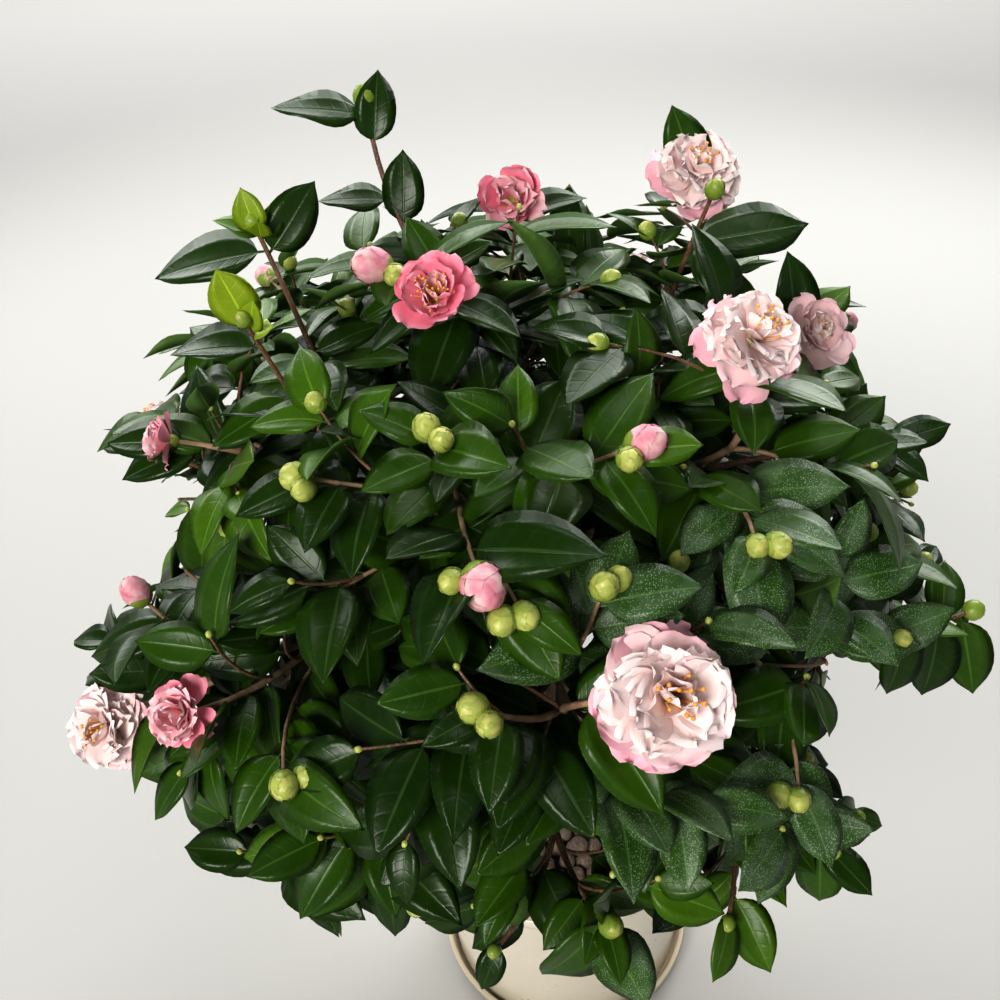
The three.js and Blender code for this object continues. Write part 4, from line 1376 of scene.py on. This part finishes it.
ROSE_HALF_OPEN = [
    (6, (BROAD, RUFFLED), 60, 40, 0.60, 12, ROSE),
    (12, (CURLED, RUFFLED), 48, 10, 0.52, 26, PALE_ROSE),
]
# One form for each bloom, in their order.
BLOOM_FORMS = [
    DOME, DOME, ROSETTE, BOWL, ROSE_HALF_OPEN, DOME,
    DOME, HALF_OPEN, ROSETTE, DOME, BOWL, DOME,
]


def petal(kind):
    """A petal one unit long: a grid drawn in at its foot, cupped, curled and ruffled."""
    cup, curl, ruffle, notch = kind
    rows = len(PETAL_ROWS) - 1
    piece = sheet(8, rows)
    for column in (1, 2, 3, 4):
        lift(piece, lambda co: abs(abs(co.x) - column / 4) < 0.02, cup * (column / 4) ** 2)
    for row, (part, width) in enumerate(PETAL_ROWS):
        half = width * PETAL_HALF_WIDTH
        set_row(piece, -1 + 2 * row / rows, half, half, (0, part, curl * part**2))
    for column in range(-4, 5):
        for row in range(3, rows + 1):
            part, width = PETAL_ROWS[row]
            x = column / 4 * width * PETAL_HALF_WIDTH
            there = STAND_OFF + part
            pick(piece, lambda co: abs(co.x - x) < 0.02 and abs(co.y - there) < 0.02)
            wave = ruffle * (part - 0.4) * math.cos(column * 1.15 + row * 0.6)
            short = -notch * (1 - abs(column) / 4) if row == rows else 0
            bpy.ops.transform.translate(value=(0, short, wave))
    bring_back()
    return corners_of(piece)


def stamen():
    """A thread one unit long with a small grain of pollen at its end."""
    bpy.ops.mesh.primitive_cone_add(
        vertices=5, radius1=0.03, radius2=0.018, depth=1, location=(0, 0.5, 0),
        rotation=(-math.pi / 2, 0, 0),
    )
    thread = bpy.context.object
    bpy.ops.object.transform_apply(location=True, rotation=True, scale=True)
    bpy.ops.mesh.primitive_ico_sphere_add(subdivisions=1, radius=0.055, location=(0, 1, 0))
    grain = bpy.context.object
    bpy.ops.object.transform_apply(location=True, rotation=True, scale=True)
    for piece in (thread, grain):
        if not piece.data.uv_layers:
            piece.data.uv_layers.new(name="UVMap")
    make_active(thread)
    grain.select_set(True)
    bpy.ops.object.join()
    return corners_of(thread)


petal_sorts = [*[petal(kind) for kind in PETAL_KINDS], stamen()]


def bloom_pieces(at, way, across, draw, form):
    """All the petals and stamens of one bloom, each leaned outwards about its own foot."""
    placed = []
    turn = draw(0, FULL_TURN)
    for depth, (count, sorts, first, last, length, own_turn, finish) in enumerate(form):
        for i in range(count):
            part = i / (count - 1)
            turn += GOLDEN_TURN + draw(-PETAL_STRAY, PETAL_STRAY)
            stray = draw(-LEAN_STRAY, LEAN_STRAY)
            lean = math.radians(first + (last - first) * part + stray)
            size = across * length * draw(*PETAL_SIZES)
            spun = Matrix.Rotation(math.radians(draw(-own_turn, own_turn)), 3, "Y")
            upright = frame_along(way, turn)
            foot = upright @ Vector((0, RING_RISE * depth, -FOOT_OUT)) * across
            leaned = upright @ Matrix.Rotation(-lean, 3, "X") @ spun * size
            placed.append((sorts[i % len(sorts)], leaned, at + foot, finish, draw()))
    return placed


draw = seeded(41)
petals, sepals = [], []
bloom_twigs = [twig for twig in twigs if twig["kind"] == "bloom"]
for twig, form in zip(bloom_twigs, BLOOM_FORMS):
    at, way = twig["limb"].at(1), twig.get("faces") or twig["limb"].way(1)
    petals += bloom_pieces(at, way, twig["across"], draw, form)
    base = at - way * twig["across"] * SEPAL_DROP
    sepals += bud_pieces(base, way, twig["across"] * SEPAL_WIDTH, draw, False)
bloom_piece = strew("bloom_petals", petal_sorts, petals)
sepal_piece = strew("bloom_sepals", bud_sorts, sepals)


def petal_finish(name, foot, body, edge):
    """Soft petal skin: its colour runs from its warm foot over its body to its edge."""
    finish = Finish(name, Roughness=0.55, Subsurface_Weight=0.12, Subsurface_Scale=0.002)
    finish.wear({"Sheen Weight": 0.2, "Sheen Roughness": 0.4})
    v = finish.along_map("Y")
    patches = finish.noise(70, 3).step(0.35, 0.75)
    share = v.step(0.5, 1.0) * 0.7 + finish.shade() * patches * 0.3
    colour = finish.blend(share, (*body, 1), (*edge, 1))
    colour = finish.blend(v.step(0.45, 0.05), colour, (*foot, 1))
    finish.wear({"Base Color": colour})
    rays = abs((finish.along_map("X") * 14) % 1 - 0.5)
    finish.relief(rays * 0.3 + finish.noise(180, 3), 0.18, 0.0008)
    return finish.material


gold = Finish("stamens", Roughness=0.6)
colour = gold.blend(gold.noise(300), (0.78, 0.30, 0.05, 1), (0.88, 0.55, 0.16, 1))
gold.wear({"Base Color": colour})
gold.relief(gold.noise(900, 2), 0.3, 0.0004)
# In the order of the names above, the colour of a petal's foot, of its body and of its edge.
PETAL_FINISHES = [
    petal_finish("petal blush", (0.96, 0.73, 0.64), (0.97, 0.79, 0.78), (0.98, 0.87, 0.86)),
    petal_finish("petal pink", (0.94, 0.74, 0.70), (0.91, 0.58, 0.64), (0.87, 0.42, 0.53)),
    petal_finish("petal rose", (0.86, 0.32, 0.35), (0.86, 0.26, 0.37), (0.92, 0.46, 0.54)),
    petal_finish("petal pale rose", (0.90, 0.38, 0.38), (0.91, 0.50, 0.56), (0.95, 0.68, 0.71)),
    petal_finish("petal shell", (0.96, 0.78, 0.70), (0.95, 0.73, 0.74), (0.93, 0.62, 0.68)),
    gold.material,
]
settle(bloom_piece, "blossom", PETAL_FINISHES)
settle(sepal_piece, "foliage", [scales.material, tips.material])

# Studio: a pale floor, a broad soft window of light behind and above, and a gentle fill in front.
bpy.ops.mesh.primitive_plane_add(size=24, location=(0, 2, -0.0005))
floor = bpy.context.object
floor.name = "studio_floor"
paper = Finish("studio paper", Roughness=0.9)
paper.wear({"Base Color": (0.46, 0.455, 0.44, 1)})
floor.data.materials.append(paper.material)


def lamp(name, place, target, wide, high, power, colour=(1, 1, 1)):
    """A soft flat lamp at a place, turned to its target."""
    light = bpy.data.lights.new(name, "AREA")
    light.shape = "RECTANGLE"
    light.size = wide
    light.size_y = high
    light.energy = power
    light.color = colour
    holder = put_in_scene(name, light)
    holder.location = place
    holder.rotation_euler = (Vector(target) - Vector(place)).to_track_quat("-Z", "Y").to_euler()


lamp("window_left", (-1.5, 1.9, 1.9), (0, 0, 0.55), 1.7, 1.5, 23, (0.99, 1, 0.98))
lamp("window_right", (1.4, 1.9, 1.9), (0, 0, 0.55), 1.7, 1.5, 34, (0.99, 1, 0.98))
lamp("above", (0.2, -0.1, 2.7), (0, 0, 0.5), 1.0, 1.0, 6)
lamp("front_fill", (-1.2, -2.3, 1.9), (0, 0, 0.5), 1.3, 1.2, 58, (1, 0.98, 0.94))
lamp("far_floor", (0, 6.5, 5.0), (0, 5.5, 0), 12, 6, 700)
world = bpy.data.worlds.new("studio air")
world.use_nodes = True
air = world.node_tree
up = air.nodes.new("ShaderNodeSeparateXYZ")
fade = air.nodes.new("ShaderNodeMapRange")
fade.interpolation_type = "SMOOTHSTEP"
for key, value in (("From Min", 0.2), ("From Max", 0.7), ("To Min", 0.27), ("To Max", 0.03)):
    fade.inputs[key].default_value = value
air.links.new(air.nodes.new("ShaderNodeTexCoord").outputs["Generated"], up.inputs[0])
air.links.new(up.outputs["Z"], fade.inputs["Value"])
air.links.new(fade.outputs[0], air.nodes["Background"].inputs["Strength"])
air.nodes["Background"].inputs["Color"].default_value = (0.97, 0.98, 1, 1)
bpy.context.scene.world = world
film = bpy.context.scene.view_settings
film.view_transform = "Standard"
film.exposure = 0.46
film.gamma = 0.8

# Camera: above and in front of the plant, tipped down, as its picture was taken.
PITCH = math.radians(36.5)
ROLL = math.radians(4.1)
ahead = Vector((0, math.cos(PITCH), -math.sin(PITCH)))
level = Vector((1, 0, 0))
below = ahead.cross(level)
right = level * math.cos(ROLL) + below * math.sin(ROLL)
down = below * math.cos(ROLL) - level * math.sin(ROLL)
lens = bpy.data.cameras.new("camera")
lens.sensor_width = 36
lens.lens = 37.44
camera = put_in_scene("camera", lens)
turn = Matrix((right, -down, -ahead)).transposed().to_4x4()
camera.matrix_world = Matrix.Translation(VIEWER) @ turn
bpy.context.scene.camera = camera
